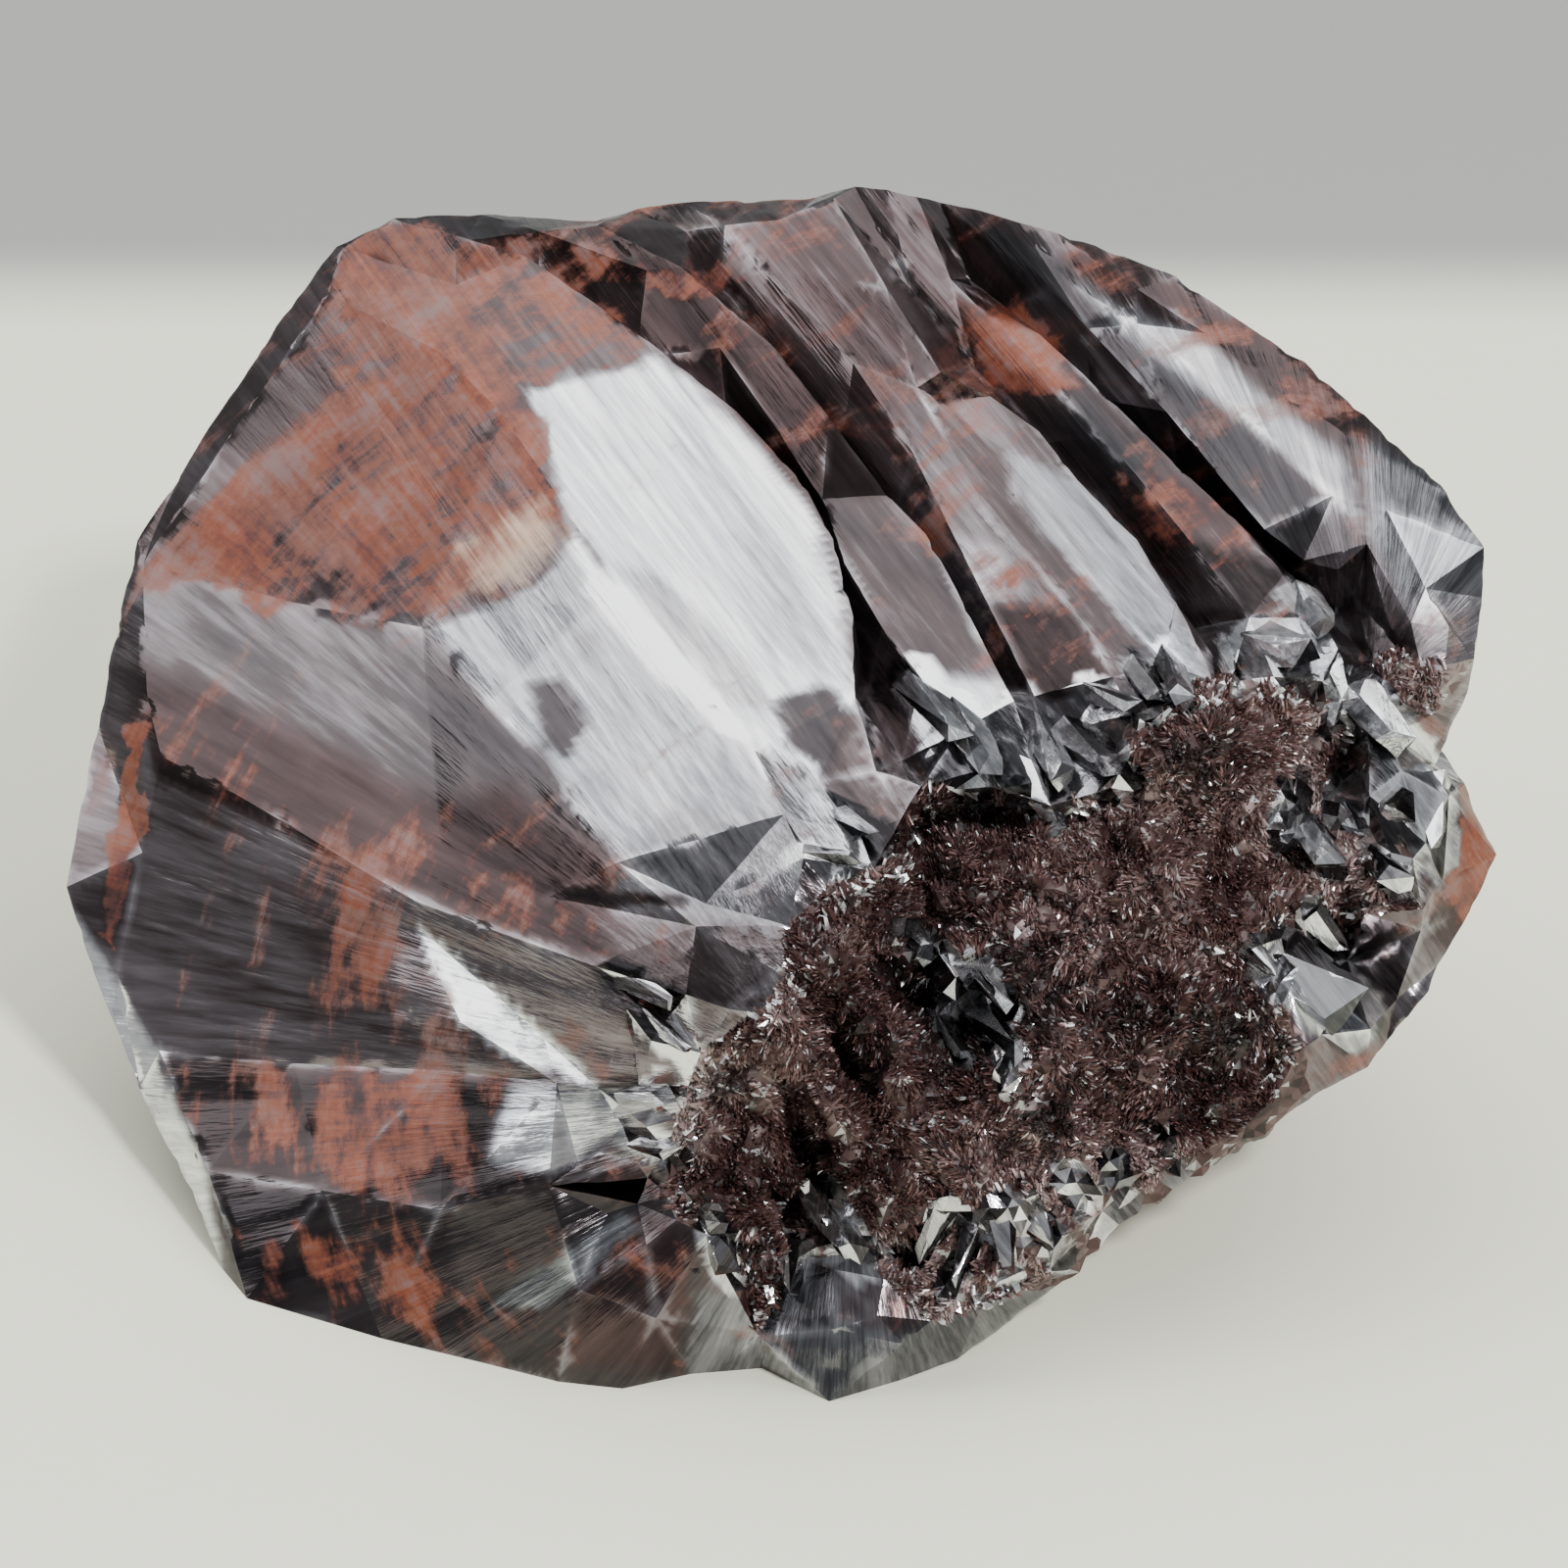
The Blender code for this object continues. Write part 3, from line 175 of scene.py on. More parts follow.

# Patches of the split faces, painted in this order: name, softness of the edge in squares, what
# they set, and their outline on the sheet. The tone that they set is painted reflection and shade;
# rust and crust are the stone's own colour.
PATCHES = [
    ("left strip", 0.10, {"tone": 0.33, "warm": 0.7, "rust": 0.12},
     [(1.4, 5.6), (1.5, 7.2), (1.4, 8.7), (1.15, 9.9), (0.6, 9.1), (0.9, 7.3), (1.1, 6.4)]),
    ("red line of the left strip", 0.05, {"rust": 0.95},
     [(1.30, 7.4), (1.52, 7.5), (1.24, 9.8), (1.02, 9.6)]),
    # Painted reflection of the floor: a pale strip along the left edge.
    ("pale strip", 0.06, {"tone": 0.86, "warm": 0.2, "rust": 0.0},
     [(0.6, 9.1), (1.15, 9.9), (1.62, 10.7), (2.12, 11.9), (2.52, 13.3), (2.2, 13.1), (1.4, 11.3)]),
    ("crown", 0.10, {"tone": 0.34, "warm": 0.6, "rust": 0.55},
     [(3.4, 2.4), (4.1, 2.1), (5.4, 2.5), (6.6, 3.3), (7.0, 3.8), (6.6, 4.05), (5.45, 4.0),
      (4.6, 3.2), (3.5, 2.8)]),
    ("red face", 0.08, {"tone": 0.42, "warm": 0.9, "rust": 0.55},
     [(1.35, 5.6), (1.8, 4.8), (2.9, 3.1), (3.45, 2.4), (4.6, 2.9), (5.45, 4.0), (5.72, 5.1),
      (5.85, 5.55), (5.3, 6.02), (4.35, 6.42), (3.0, 6.25), (2.0, 5.98), (1.45, 6.05)]),
    ("purple border", 0.35, {"tone": 0.34, "warm": 0.8, "rust": 0.22},
     [(1.35, 5.6), (1.8, 4.8), (2.9, 3.1), (3.3, 2.9), (3.5, 3.5), (2.9, 4.5), (2.2, 5.1), (1.8, 6.0)]),
    # Painted sheen: a lighter middle on the rusty red face, with more rust.
    ("pink sheen of the red face", 0.40, {"tone": 0.50, "rust": 0.62},
     [(3.7, 4.2), (4.9, 4.1), (5.5, 5.0), (4.4, 6.1), (3.4, 5.8)]),
    ("red chamfer", 0.06, {"tone": 0.35, "rust": 0.98},
     [(3.5, 2.5), (4.7, 3.1), (5.3, 3.9), (5.6, 4.6), (5.78, 5.4), (5.5, 5.2), (5.15, 4.35),
      (4.5, 3.65), (3.6, 3.1)]),
    ("orange corner", 0.16, {"rust": 0.86},
     [(2.0, 5.1), (2.7, 5.0), (2.8, 5.7), (2.1, 5.85)]),
    ("cream crust", 0.42, {"pale": 0.66, "rust": 0.45},
     [(4.35, 6.35), (4.6, 5.7), (5.1, 5.25), (5.6, 5.0), (5.85, 5.5), (5.5, 5.9), (5.0, 6.2)]),
    ("grey face", 0.06, {"tone": 0.30, "warm": 0.50, "rust": 0.02},
     [(1.3, 6.05), (2.0, 6.0), (3.0, 6.27), (4.35, 6.45), (5.0, 7.15), (5.5, 7.7), (6.3, 8.8),
      (6.4, 9.3), (5.6, 9.2), (4.5, 8.65), (3.0, 7.95), (1.4, 7.2)]),
    # Painted shade along the fold below the grey face.
    ("dark hem", 0.22, {"tone": 0.14, "warm": 0.95, "rust": 0.15},
     [(1.4, 6.75), (3.0, 7.45), (4.4, 8.1), (5.2, 8.0), (6.2, 8.8), (6.3, 9.4), (5.6, 9.2),
      (3.0, 8.0), (1.4, 7.25)]),
    # Painted reflection: the silver face bright where it faces the light.
    ("silver face", 0.04, {"tone": 0.60, "warm": 0.12, "rust": 0.0},
     [(4.38, 6.42), (5.0, 6.2), (5.5, 5.95), (5.85, 5.5), (6.3, 6.0), (7.0, 6.85), (7.7, 7.65),
      (8.0, 8.3), (8.2, 8.9), (7.2, 9.25), (6.3, 8.8), (5.5, 7.7), (5.0, 7.15)]),
    ("grey notch", 0.06, {"tone": 0.22, "warm": 0.4},
     [(5.4, 6.95), (5.75, 6.9), (6.0, 7.35), (5.75, 7.75), (5.55, 7.6)]),
    ("grey spot", 0.08, {"tone": 0.48, "warm": 0.3}, [(5.85, 6.4), (6.1, 6.5), (6.15, 6.85), (5.9, 6.7)]),
    ("shaded toe", 0.14, {"tone": 0.50, "warm": 0.35},
     [(6.3, 8.75), (6.9, 8.2), (7.9, 8.3), (8.2, 8.9), (8.1, 9.5), (7.2, 9.4), (6.3, 9.3)]),
    # Painted shade in the crack under the overhanging body.
    ("dark crack", 0.04, {"tone": 0.05, "warm": 0.5},
     [(5.4, 9.1), (7.0, 9.14), (7.0, 9.24), (5.6, 9.22)]),
    # Painted reflection: the white face is bright where it faces the light.
    ("white face", 0.04, {"tone": 0.80, "warm": 0.0, "rust": 0.0},
     [(5.42, 4.0), (6.4, 3.75), (6.75, 3.6), (7.5, 4.2), (8.2, 4.95), (8.5, 5.5), (8.7, 6.3),
      (8.73, 7.1), (8.35, 7.95), (7.7, 7.65), (7.0, 6.85), (6.3, 6.0), (5.7, 5.05)]),
    ("steel streak", 0.16, {"tone": 0.68, "warm": -0.15},
     [(6.6, 4.4), (7.3, 4.6), (8.2, 5.9), (8.5, 6.9), (7.8, 6.6), (6.9, 5.4)]),
    ("grey streak", 0.08, {"tone": 0.60, "warm": 0.3},
     [(6.3, 5.75), (6.8, 5.9), (7.7, 6.9), (8.0, 7.3), (7.5, 7.2), (6.8, 6.6)]),
    # Painted highlight along the ridge at the lower edge of the white face.
    ("bright border", 0.04, {"tone": 1.05, "warm": 0.0},
     [(5.8, 5.5), (6.35, 6.0), (7.05, 6.85), (7.72, 7.6), (7.4, 7.5), (6.7, 6.85), (6.0, 6.05)]),
    ("dark wedge", 0.05, {"tone": 0.18, "warm": 0.4},
     [(7.9, 7.15), (8.45, 7.0), (8.7, 7.3), (8.45, 7.9), (8.05, 7.6)]),
    ("toe by the core", 0.10, {"tone": 0.58, "warm": 0.2},
     [(7.8, 7.75), (8.4, 8.0), (8.9, 8.55), (8.95, 8.95), (8.4, 9.05), (8.15, 8.6)]),
    ("brown flank", 0.06, {"tone": 0.45, "warm": 0.85, "rust": 0.19},
     [(1.45, 7.2), (3.0, 7.95), (4.5, 8.65), (5.3, 9.1), (6.1, 9.9), (6.5, 10.7), (6.1, 11.2),
      (4.4, 10.95), (3.0, 10.87), (1.62, 10.7), (1.15, 9.9), (1.4, 8.7)]),
    # Painted shade: the chamfer along the fold kept dark.
    ("flank chamfer", 0.06, {"tone": 0.13, "warm": 0.9, "rust": 0.26},
     [(1.45, 7.2), (3.0, 7.88), (4.0, 8.3), (5.0, 8.75), (5.9, 9.2), (6.4, 9.8), (5.6, 9.62), (4.6, 9.25),
      (3.6, 8.8), (2.6, 8.35), (1.6, 7.95)]),
    ("ochre streaks", 0.22, {"rust": 0.52},
     [(3.0, 8.6), (3.8, 8.8), (4.0, 10.2), (3.3, 10.5), (3.1, 9.6)]),
    # Painted highlight: the thin blade bright as it catches the light.
    ("bright blade", 0.03, {"tone": 1.05, "warm": 0.0, "rust": 0.0},
     [(4.25, 9.45), (5.0, 10.08), (5.6, 10.6), (6.15, 11.14), (5.3, 10.82), (4.68, 10.45)]),
    ("red ledge", 0.08, {"tone": 0.13, "warm": 0.6, "rust": 0.30},
     [(1.62, 10.8), (3.0, 10.9), (4.5, 10.96), (5.7, 11.08), (6.3, 11.5), (6.1, 11.85), (5.6, 12.1),
      (4.5, 12.32), (3.3, 12.12), (2.1, 11.95)]),
    ("orange of the ledge", 0.22, {"rust": 0.66},
     [(3.3, 10.9), (4.7, 11.0), (4.6, 11.9), (3.5, 12.1), (3.2, 11.4)]),
    ("orange dash of the ledge", 0.10, {"rust": 0.62},
     [(2.75, 10.8), (2.95, 10.85), (2.9, 11.6), (2.65, 11.55)]),
    # Painted reflection on the small facets at the end of the ledge.
    ("white end of the ledge", 0.12, {"tone": 0.88, "warm": 0.0, "rust": 0.0},
     [(5.2, 11.1), (6.15, 11.15), (6.4, 11.5), (5.7, 11.95), (5.0, 11.85)]),
    # Painted shade on the down-facing foot, over its own rust.
    ("foot", 0.08, {"tone": 0.20, "warm": 0.45, "rust": 0.16},
     [(2.1, 12.0), (4.5, 12.38), (5.6, 12.15), (6.8, 12.2), (7.2, 12.9), (7.0, 14.2), (5.7, 14.3),
      (3.9, 13.8), (2.4, 13.4)]),
    ("foot orange left", 0.16, {"rust": 0.66}, [(2.45, 12.6), (2.75, 12.7), (3.0, 13.35), (2.6, 13.35)]),
    ("foot orange middle", 0.14, {"rust": 0.74}, [(3.05, 12.5), (3.6, 12.5), (3.65, 13.3), (3.1, 13.1)]),
    ("foot orange right", 0.20, {"rust": 0.55}, [(3.85, 12.45), (4.5, 12.6), (4.4, 13.5), (3.8, 13.5)]),
    ("foot brown", 0.12, {"tone": 0.24, "warm": 1.0, "rust": 0.3},
     [(6.5, 12.4), (7.1, 12.6), (6.9, 14.0), (5.6, 13.9), (5.9, 13.2)]),
    ("foot steel", 0.05, {"tone": 0.50, "warm": -0.1, "rust": 0.0},
     [(6.35, 12.35), (6.62, 12.52), (5.5, 13.35), (4.95, 13.35)]),
    ("toe facets", 0.05, {"tone": 0.36, "warm": 0.15, "rust": 0.05},
     [(7.1, 13.2), (7.7, 13.2), (8.6, 13.45), (9.2, 13.6), (10.0, 13.2), (11.1, 12.7), (12.2, 12.0),
      (13.4, 11.1), (14.0, 11.0), (11.4, 13.2), (9.8, 14.1), (8.4, 14.5), (7.0, 14.2)]),
    ("toe dark facet", 0.05, {"tone": 0.30, "warm": 0.2},
     [(7.75, 13.0), (8.6, 12.9), (8.6, 13.5), (7.75, 13.6)]),
    ("second blade top", 0.10, {"tone": 0.13, "warm": 0.9, "rust": 0.20},
     [(4.6, 2.15), (6.9, 2.1), (7.9, 3.3), (8.5, 4.2), (9.1, 5.1), (8.3, 5.2), (7.4, 4.2), (6.5, 3.4)]),
    ("second blade red line", 0.08, {"rust": 0.66}, [(5.9, 2.62), (7.4, 2.7), (7.6, 2.95), (6.0, 2.92)]),
    ("second blade", 0.06, {"tone": 0.22, "warm": 0.6, "rust": 0.06},
     [(8.2, 5.0), (9.1, 5.15), (9.6, 5.7), (10.1, 6.7), (10.6, 8.2), (9.6, 7.9), (9.0, 7.6),
      (8.7, 6.6)]),
    ("second blade shade", 0.12, {"tone": 0.36, "warm": 0.9},
     [(8.6, 6.3), (9.0, 6.5), (9.35, 7.4), (9.2, 8.1), (8.85, 7.6)]),
    ("second blade glints", 0.10, {"tone": 0.44, "warm": 0.0, "glitter": 0.8},
     [(9.4, 6.8), (10.2, 7.0), (10.5, 7.6), (10.6, 8.2), (10.0, 7.95)]),
    ("third blade top", 0.12, {"tone": 0.30, "warm": 0.9, "rust": 0.24},
     [(7.0, 2.0), (8.4, 2.0), (9.4, 3.7), (9.3, 4.7), (8.7, 4.0), (7.9, 3.1)]),
    ("third blade", 0.08, {"tone": 0.33, "warm": 0.6, "rust": 0.26},
     [(9.2, 3.9), (9.9, 4.9), (11.1, 6.4), (11.0, 7.2), (10.3, 6.9), (9.4, 5.2)]),
    ("third blade pink", 0.12, {"tone": 0.62, "rust": 0.62},
     [(9.4, 5.35), (10.2, 5.6), (10.4, 5.95), (10.0, 6.5)]),
    # Painted shade in the gap beside the second blade's crest.
    ("third blade foot", 0.10, {"tone": 0.02, "warm": 0.8, "rust": 0.05},
     [(10.1, 6.15), (10.9, 6.2), (11.3, 6.9), (11.1, 7.4), (10.5, 7.1)]),
    ("third leaf", 0.04, {"tone": 0.46, "warm": 0.15, "rust": 0.0},
     [(10.28, 4.6), (10.95, 4.9), (11.6, 5.5), (12.0, 6.15), (12.35, 6.9), (11.9, 6.9), (11.3, 6.1),
      (10.6, 5.4)]),
    ("fourth blade", 0.08, {"tone": 0.27, "warm": 0.75, "rust": 0.26},
     [(8.6, 1.9), (9.9, 2.4), (11.2, 3.95), (12.6, 5.3), (13.5, 6.3), (12.9, 6.9), (12.2, 6.3),
      (11.2, 5.0), (10.1, 4.0), (9.1, 2.9)]),
    ("fourth blade red", 0.14, {"rust": 0.68},
     [(9.6, 3.1), (10.5, 2.9), (11.1, 3.6), (10.9, 4.05), (10.2, 3.9)]),
    ("fourth blade steel", 0.14, {"tone": 0.16, "warm": 0.2, "rust": 0.0},
     [(10.4, 4.0), (11.1, 4.05), (11.7, 4.75), (11.4, 5.0), (10.9, 4.6)]),
    ("fourth blade low red", 0.16, {"rust": 0.64}, [(11.4, 4.9), (12.3, 4.85), (12.6, 5.4), (11.7, 5.6)]),
    # Painted shade in the gap between the blades, with painted glints.
    ("fourth blade foot", 0.10, {"tone": 0.16, "warm": 0.5, "rust": 0.12, "glitter": 0.6},
     [(12.1, 5.5), (13.0, 5.7), (13.5, 6.3), (12.9, 6.9), (12.3, 6.5)]),
    ("fifth blade", 0.08, {"tone": 0.26, "warm": 0.3, "rust": 0.08},
     [(9.9, 2.2), (10.9, 2.7), (13.0, 4.6), (13.9, 5.6), (13.3, 5.75), (12.3, 5.0), (10.8, 3.6)]),
    ("fifth blade bright band", 0.10, {"tone": 0.70, "warm": 0.3, "rust": 0.16},
     [(11.0, 2.95), (12.3, 3.5), (13.7, 4.7), (13.9, 5.4), (13.0, 4.55), (11.8, 3.65)]),
    ("fifth blade brown edge", 0.10, {"tone": 0.24, "warm": 0.95, "rust": 0.32},
     [(10.8, 2.3), (13.3, 3.6), (14.1, 4.35), (13.6, 4.45), (12.2, 3.35), (10.9, 2.75)]),
    ("fan", 0.06, {"tone": 0.52, "warm": 0.1, "rust": 0.0, "glitter": 0.5},
     [(13.9, 4.45), (14.7, 4.9), (15.2, 5.5), (15.2, 6.2), (14.4, 6.4), (14.0, 5.5)]),
    ("pink end of the fan", 0.14, {"tone": 0.62, "warm": 0.8, "rust": 0.35},
     [(14.4, 6.1), (15.1, 6.1), (15.1, 6.8), (14.5, 6.8)]),
    ("steel block", 0.05, {"tone": 0.55, "warm": -0.1, "rust": 0.0},
     [(13.75, 6.9), (14.1, 6.9), (14.6, 7.9), (14.1, 7.9)]),
    ("rim facets", 0.05, {"tone": 0.72, "warm": 0.1, "rust": 0.0, "glitter": 0.7},
     [(13.6, 7.95), (14.62, 7.8), (14.6, 8.3), (14.2, 8.7), (13.7, 8.5)]),
    # Painted reflection: a small facet at the right rim facing the light.
    ("bright rectangle", 0.03, {"tone": 1.05, "warm": 0.0, "rust": 0.0},
     [(14.45, 7.9), (14.86, 7.95), (14.82, 8.8), (14.45, 8.75)]),
    ("red rim", 0.06, {"tone": 0.16, "warm": 0.9, "rust": 0.85},
     [(14.84, 8.0), (15.4, 8.6), (15.0, 9.4), (14.78, 8.9)]),
    ("scallop", 0.08, {"tone": 0.34, "warm": 0.6, "rust": 0.1},
     [(13.7, 9.3), (14.8, 9.7), (14.6, 10.4), (14.0, 10.3)]),
    # Painted reflection on the facet at the hip.
    ("bright hip", 0.04, {"tone": 1.0, "warm": 0.1, "rust": 0.0},
     [(13.1, 9.95), (14.1, 10.2), (14.05, 10.56), (13.3, 10.5)]),
    ("brown hip", 0.08, {"tone": 0.50, "warm": 0.9, "rust": 0.45},
     [(13.4, 10.55), (14.3, 10.6), (13.9, 11.1), (13.2, 11.2)]),
]

# Broken blade ends round the core: root and tip on the sheet, half width in mm.
SHARDS = [
    (9.35, 6.95, 9.80, 7.60, 0.78), (9.75, 7.25, 10.15, 7.85, 0.65), (9.55, 7.70, 9.95, 8.15, 0.53),
    (10.15, 7.55, 10.40, 8.10, 0.56), (10.45, 7.25, 10.85, 8.00, 0.71), (10.55, 8.00, 10.75, 8.40, 0.46),
    (10.95, 7.45, 11.35, 7.90, 0.96), (11.10, 7.05, 11.65, 7.25, 0.53), (11.55, 6.75, 11.80, 7.15, 0.46),
    (11.90, 6.70, 12.05, 7.15, 0.53), (12.50, 6.55, 12.62, 7.05, 0.25), (12.90, 6.60, 13.35, 6.75, 1.02),
    (13.25, 6.05, 13.55, 6.45, 0.62), (13.55, 6.75, 13.75, 7.20, 0.53), (13.75, 6.85, 13.55, 7.45, 0.37),
    (13.85, 7.10, 14.35, 7.75, 0.93), (13.20, 8.05, 13.10, 8.60, 0.59), (13.35, 8.45, 13.60, 8.85, 0.46),
    (13.80, 8.15, 14.35, 8.25, 1.02), (14.62, 7.95, 14.66, 8.70, 0.71), (14.05, 8.75, 14.30, 9.05, 0.62),
    (13.35, 9.30, 13.70, 9.75, 0.53), (13.05, 9.80, 13.75, 10.35, 1.08), (12.75, 9.65, 13.05, 10.00, 0.40),
    (8.35, 12.20, 8.75, 12.85, 0.71), (8.15, 12.75, 8.05, 13.25, 0.53), (7.25, 12.45, 7.45, 13.00, 0.53),
    (9.65, 12.30, 9.30, 12.85, 0.46), (9.95, 12.45, 9.70, 13.15, 0.53), (10.20, 12.25, 10.30, 13.00, 0.53),
    (10.50, 12.35, 10.80, 12.80, 0.59), (10.85, 12.00, 11.25, 12.45, 0.62),
    (11.35, 11.85, 11.50, 12.30, 0.53), (11.90, 11.60, 12.00, 12.00, 0.46), (9.55, 9.75, 9.85, 10.15, 0.65),
    (9.95, 9.85, 10.30, 10.30, 0.56), (10.00, 10.35, 10.35, 10.75, 0.50), (9.60, 10.40, 9.85, 10.80, 0.40),
    (10.25, 10.75, 10.30, 11.10, 0.40), (9.25, 9.45, 9.50, 9.80, 0.43), (8.20, 8.75, 8.85, 8.75, 0.53),
    (8.45, 8.30, 8.95, 8.55, 0.62), (6.30, 9.95, 6.95, 10.30, 0.46), (6.55, 10.35, 7.05, 10.75, 0.53),
    (6.20, 11.25, 6.85, 11.15, 0.62), (6.45, 11.60, 6.95, 11.80, 0.46),
]


def view_axes():
    """The sheet's directions: right, up, and away from the eye."""
    cos, sin = math.cos(EYE_ELEVATION), math.sin(EYE_ELEVATION)
    return np.array([1.0, 0, 0]), np.array([0, sin, cos]), np.array([0, cos, -sin])


def to_sheet(points):
    """Where the eye sees points: across and down in squares, and the depth behind the sheet."""
    right, up, away = view_axes()
    offset = points - SHEET_PLACE
    depth = offset @ away
    spread = SQUARE * (1 + depth / EYE_DISTANCE)
    across = SHEET_MIDDLE + (offset @ right) / spread
    down = SHEET_MIDDLE - (offset @ up) / spread
    return across, down, depth


def from_sheet(across, down, depth):
    """The point in the stone's frame at a place on the sheet, that far behind it."""
    right, up, away = view_axes()
    spread = SQUARE * (1 + depth / EYE_DISTANCE)
    return (SHEET_PLACE + right * (across - SHEET_MIDDLE) * spread
            + up * (SHEET_MIDDLE - down) * spread + away * depth)


def outline_distance(across, down, outline):
    """The distance of places on the sheet from a closed outline, in squares."""
    best = np.full(len(across), np.inf)
    for start, end in zip(outline, outline[1:] + outline[:1]):
        best = np.minimum(best, segment_distance(across, down, start, end))
    return best


def segment_distance(across, down, start, end):
    """The distance of places on the sheet from a straight stretch, in squares."""
    dx, dy = end[0] - start[0], end[1] - start[1]
    share = ((across - start[0]) * dx + (down - start[1]) * dy) / (dx * dx + dy * dy)
    share = np.clip(share, 0, 1)
    return np.hypot(across - start[0] - share * dx, down - start[1] - share * dy)


def on_shard(across, down):
    """Which places lie on a broken blade end."""
    found = np.zeros(len(across), bool)
    for x0, y0, x1, y1, half_width in SHARDS:
        found |= segment_distance(across, down, (x0, y0), (x1, y1)) < half_width * MM / SQUARE
    return found


def inside_outline(across, down, outline):
    """Which places lie inside a closed outline on the sheet."""
    inside = np.zeros(len(across), bool)
    for (x0, y0), (x1, y1) in zip(outline, outline[1:] + outline[:1]):
        if y0 == y1:
            continue
        crossing = (y0 > down) != (y1 > down)
        inside ^= crossing & (across < x0 + (down - y0) * (x1 - x0) / (y1 - y0))
    return inside


def painted_look(across, down):
    """The look at places on the sheet, from the patches painted one over another."""
    look = {name: np.full(len(across), value) for name, value in PLAIN_LOOK.items()}
    frayed = fray(across, down, RUST_FRAY)
    straight = fray(across, down, PLAIN_FRAY)
    for _, softness, values, outline in PATCHES:
        for name, value in values.items():
            places = frayed if name in ("rust", "pale") else straight
            share = patch_share(*places, outline, softness)
            look[name] += (value - look[name]) * share
    for x0, y0, x1, y1, half_width in SHARDS:
        near = segment_distance(across, down, (x0, y0), (x1, y1)) < half_width * MM / SQUARE
        for name, value in SHARD_LOOK.items():
            look[name][near] = value
        for name, share in SHARD_SHARES.items():
            look[name][near] *= share
    return look


def fray(across, down, amount):
    """Shifts places on the sheet a little, so that a patch's edge isn't drawn with a ruler."""
    shift = np.array([
        noise.noise_vector(Vector((x, y, 0)) * 2.1) + noise.noise_vector(Vector((x, y, 5)) * 6.5) * 0.6
        for x, y in zip(across, down)
    ])
    return across + amount * 2 * shift[:, 0], down + amount * 2 * shift[:, 1]


def patch_share(across, down, outline, softness):
    """How far a patch covers places on the sheet, from 0 to 1."""
    distance = outline_distance(across, down, outline)
    within = np.where(inside_outline(across, down, outline), distance, -distance)
    share = np.clip(within / softness * 0.5 + 0.5, 0, 1)
    return share * share * (3 - 2 * share)


def growth_of(points):
    """Where each point lies among the needles, in mm, and how far out from their roots."""
    left, right = from_sheet(*ROOT_LEFT, ROOT_DEPTH), from_sheet(*ROOT_RIGHT, ROOT_DEPTH)
    line = right - left
    share = np.clip((points - left) @ line / (line @ line), 0, 1)
    outward = points - (left + share[:, None] * line)
    away = view_axes()[2]
    outward -= (outward @ away)[:, None] * away * (1 - DEPTH_SHARE)
    reach = np.linalg.norm(outward, axis=1)
    bundle = outward / np.maximum(reach, 1e-9)[:, None] * FAN_RADIUS + share[:, None] * line
    return bundle / MM, reach / MM


def only(obj):
    """Selects one object and nothing else."""
    bpy.ops.object.select_all(action="DESELECT")
    obj.select_set(True)
    bpy.context.view_layer.objects.active = obj


def coordinates(mesh):
    """The places of a mesh's vertices."""
    values = np.empty(len(mesh.vertices) * 3)
    mesh.vertices.foreach_get("co", values)
    return values.reshape(-1, 3)


def vertex_normals(mesh):
    """The directions that a mesh's vertices face."""
    values = np.empty(len(mesh.vertices) * 3, np.float32)
    mesh.vertex_normals.foreach_get("vector", values)
    return values.reshape(-1, 3).astype(float)


def store(mesh, name, values, domain="POINT"):
    """Keeps a number for each vertex or face, for the materials."""
    kind = "FLOAT" if values.ndim == 1 else "FLOAT_VECTOR"
    attribute = mesh.attributes.new(name, kind, domain)
    attribute.data.foreach_set("value" if values.ndim == 1 else "vector", values.astype(np.float32).ravel())


def edit_all(obj, operation, **values):
    """Runs a mesh operator on the whole of an object, in edit mode."""
    only(obj)
    bpy.ops.object.mode_set(mode="EDIT")
    bpy.ops.mesh.select_all(action="SELECT")
    operation(**values)
    bpy.ops.object.mode_set(mode="OBJECT")


def split_long_edges(obj, limit):
    """Cuts every edge longer than a limit in half, until none is left."""
    mesh = obj.data
    for _ in range(MOST_HALVINGS):
        points = coordinates(mesh)
        pairs = np.empty(len(mesh.edges) * 2, np.int32)
        mesh.edges.foreach_get("vertices", pairs)
        pairs = pairs.reshape(-1, 2)
        longer = np.linalg.norm(points[pairs[:, 0]] - points[pairs[:, 1]], axis=1) > limit
        if not longer.any():
            break
        bpy.ops.object.mode_set(mode="EDIT")
        bpy.ops.mesh.select_mode(type="EDGE")
        bpy.ops.mesh.select_all(action="DESELECT")
        bpy.ops.object.mode_set(mode="OBJECT")
        mesh.edges.foreach_set("select", longer)
        bpy.ops.object.mode_set(mode="EDIT")
        bpy.ops.mesh.subdivide(number_cuts=1)
        bpy.ops.object.mode_set(mode="OBJECT")
        edit_all(obj, bpy.ops.mesh.quads_convert_to_tris, quad_method="SHORTEST_DIAGONAL",
                 ngon_method="CLIP")
    edit_all(obj, bpy.ops.mesh.dissolve_degenerate, threshold=TOUCHING)


def facet_numbers(mesh, largest_turn):
    """A seeded number from 0 to 1 for each face, the same all over a flat facet."""
    parent = list(range(len(mesh.polygons)))

    def find(i):
        while parent[i] != i:
            parent[i] = parent[parent[i]]
            i = parent[i]
        return i

    beside = {}
    for face in mesh.polygons:
        for key in face.edge_keys:
            beside.setdefault(key, []).append(face.index)
    for pair in beside.values():
        if len(pair) == 2:
            one, other = (mesh.polygons[i].normal for i in pair)
            if one.angle(other, math.pi) < largest_turn:
                parent[find(pair[0])] = find(pair[1])
    chance = np.random.default_rng(11)
    numbers = chance.random(len(mesh.polygons))
    return np.array([numbers[find(i)] for i in range(len(mesh.polygons))])


def new_material(name):
    """An empty material, its node tree and its shader."""
    material = bpy.data.materials.new(name)
    material.use_nodes = True
    return material, material.node_tree, material.node_tree.nodes["Principled BSDF"]


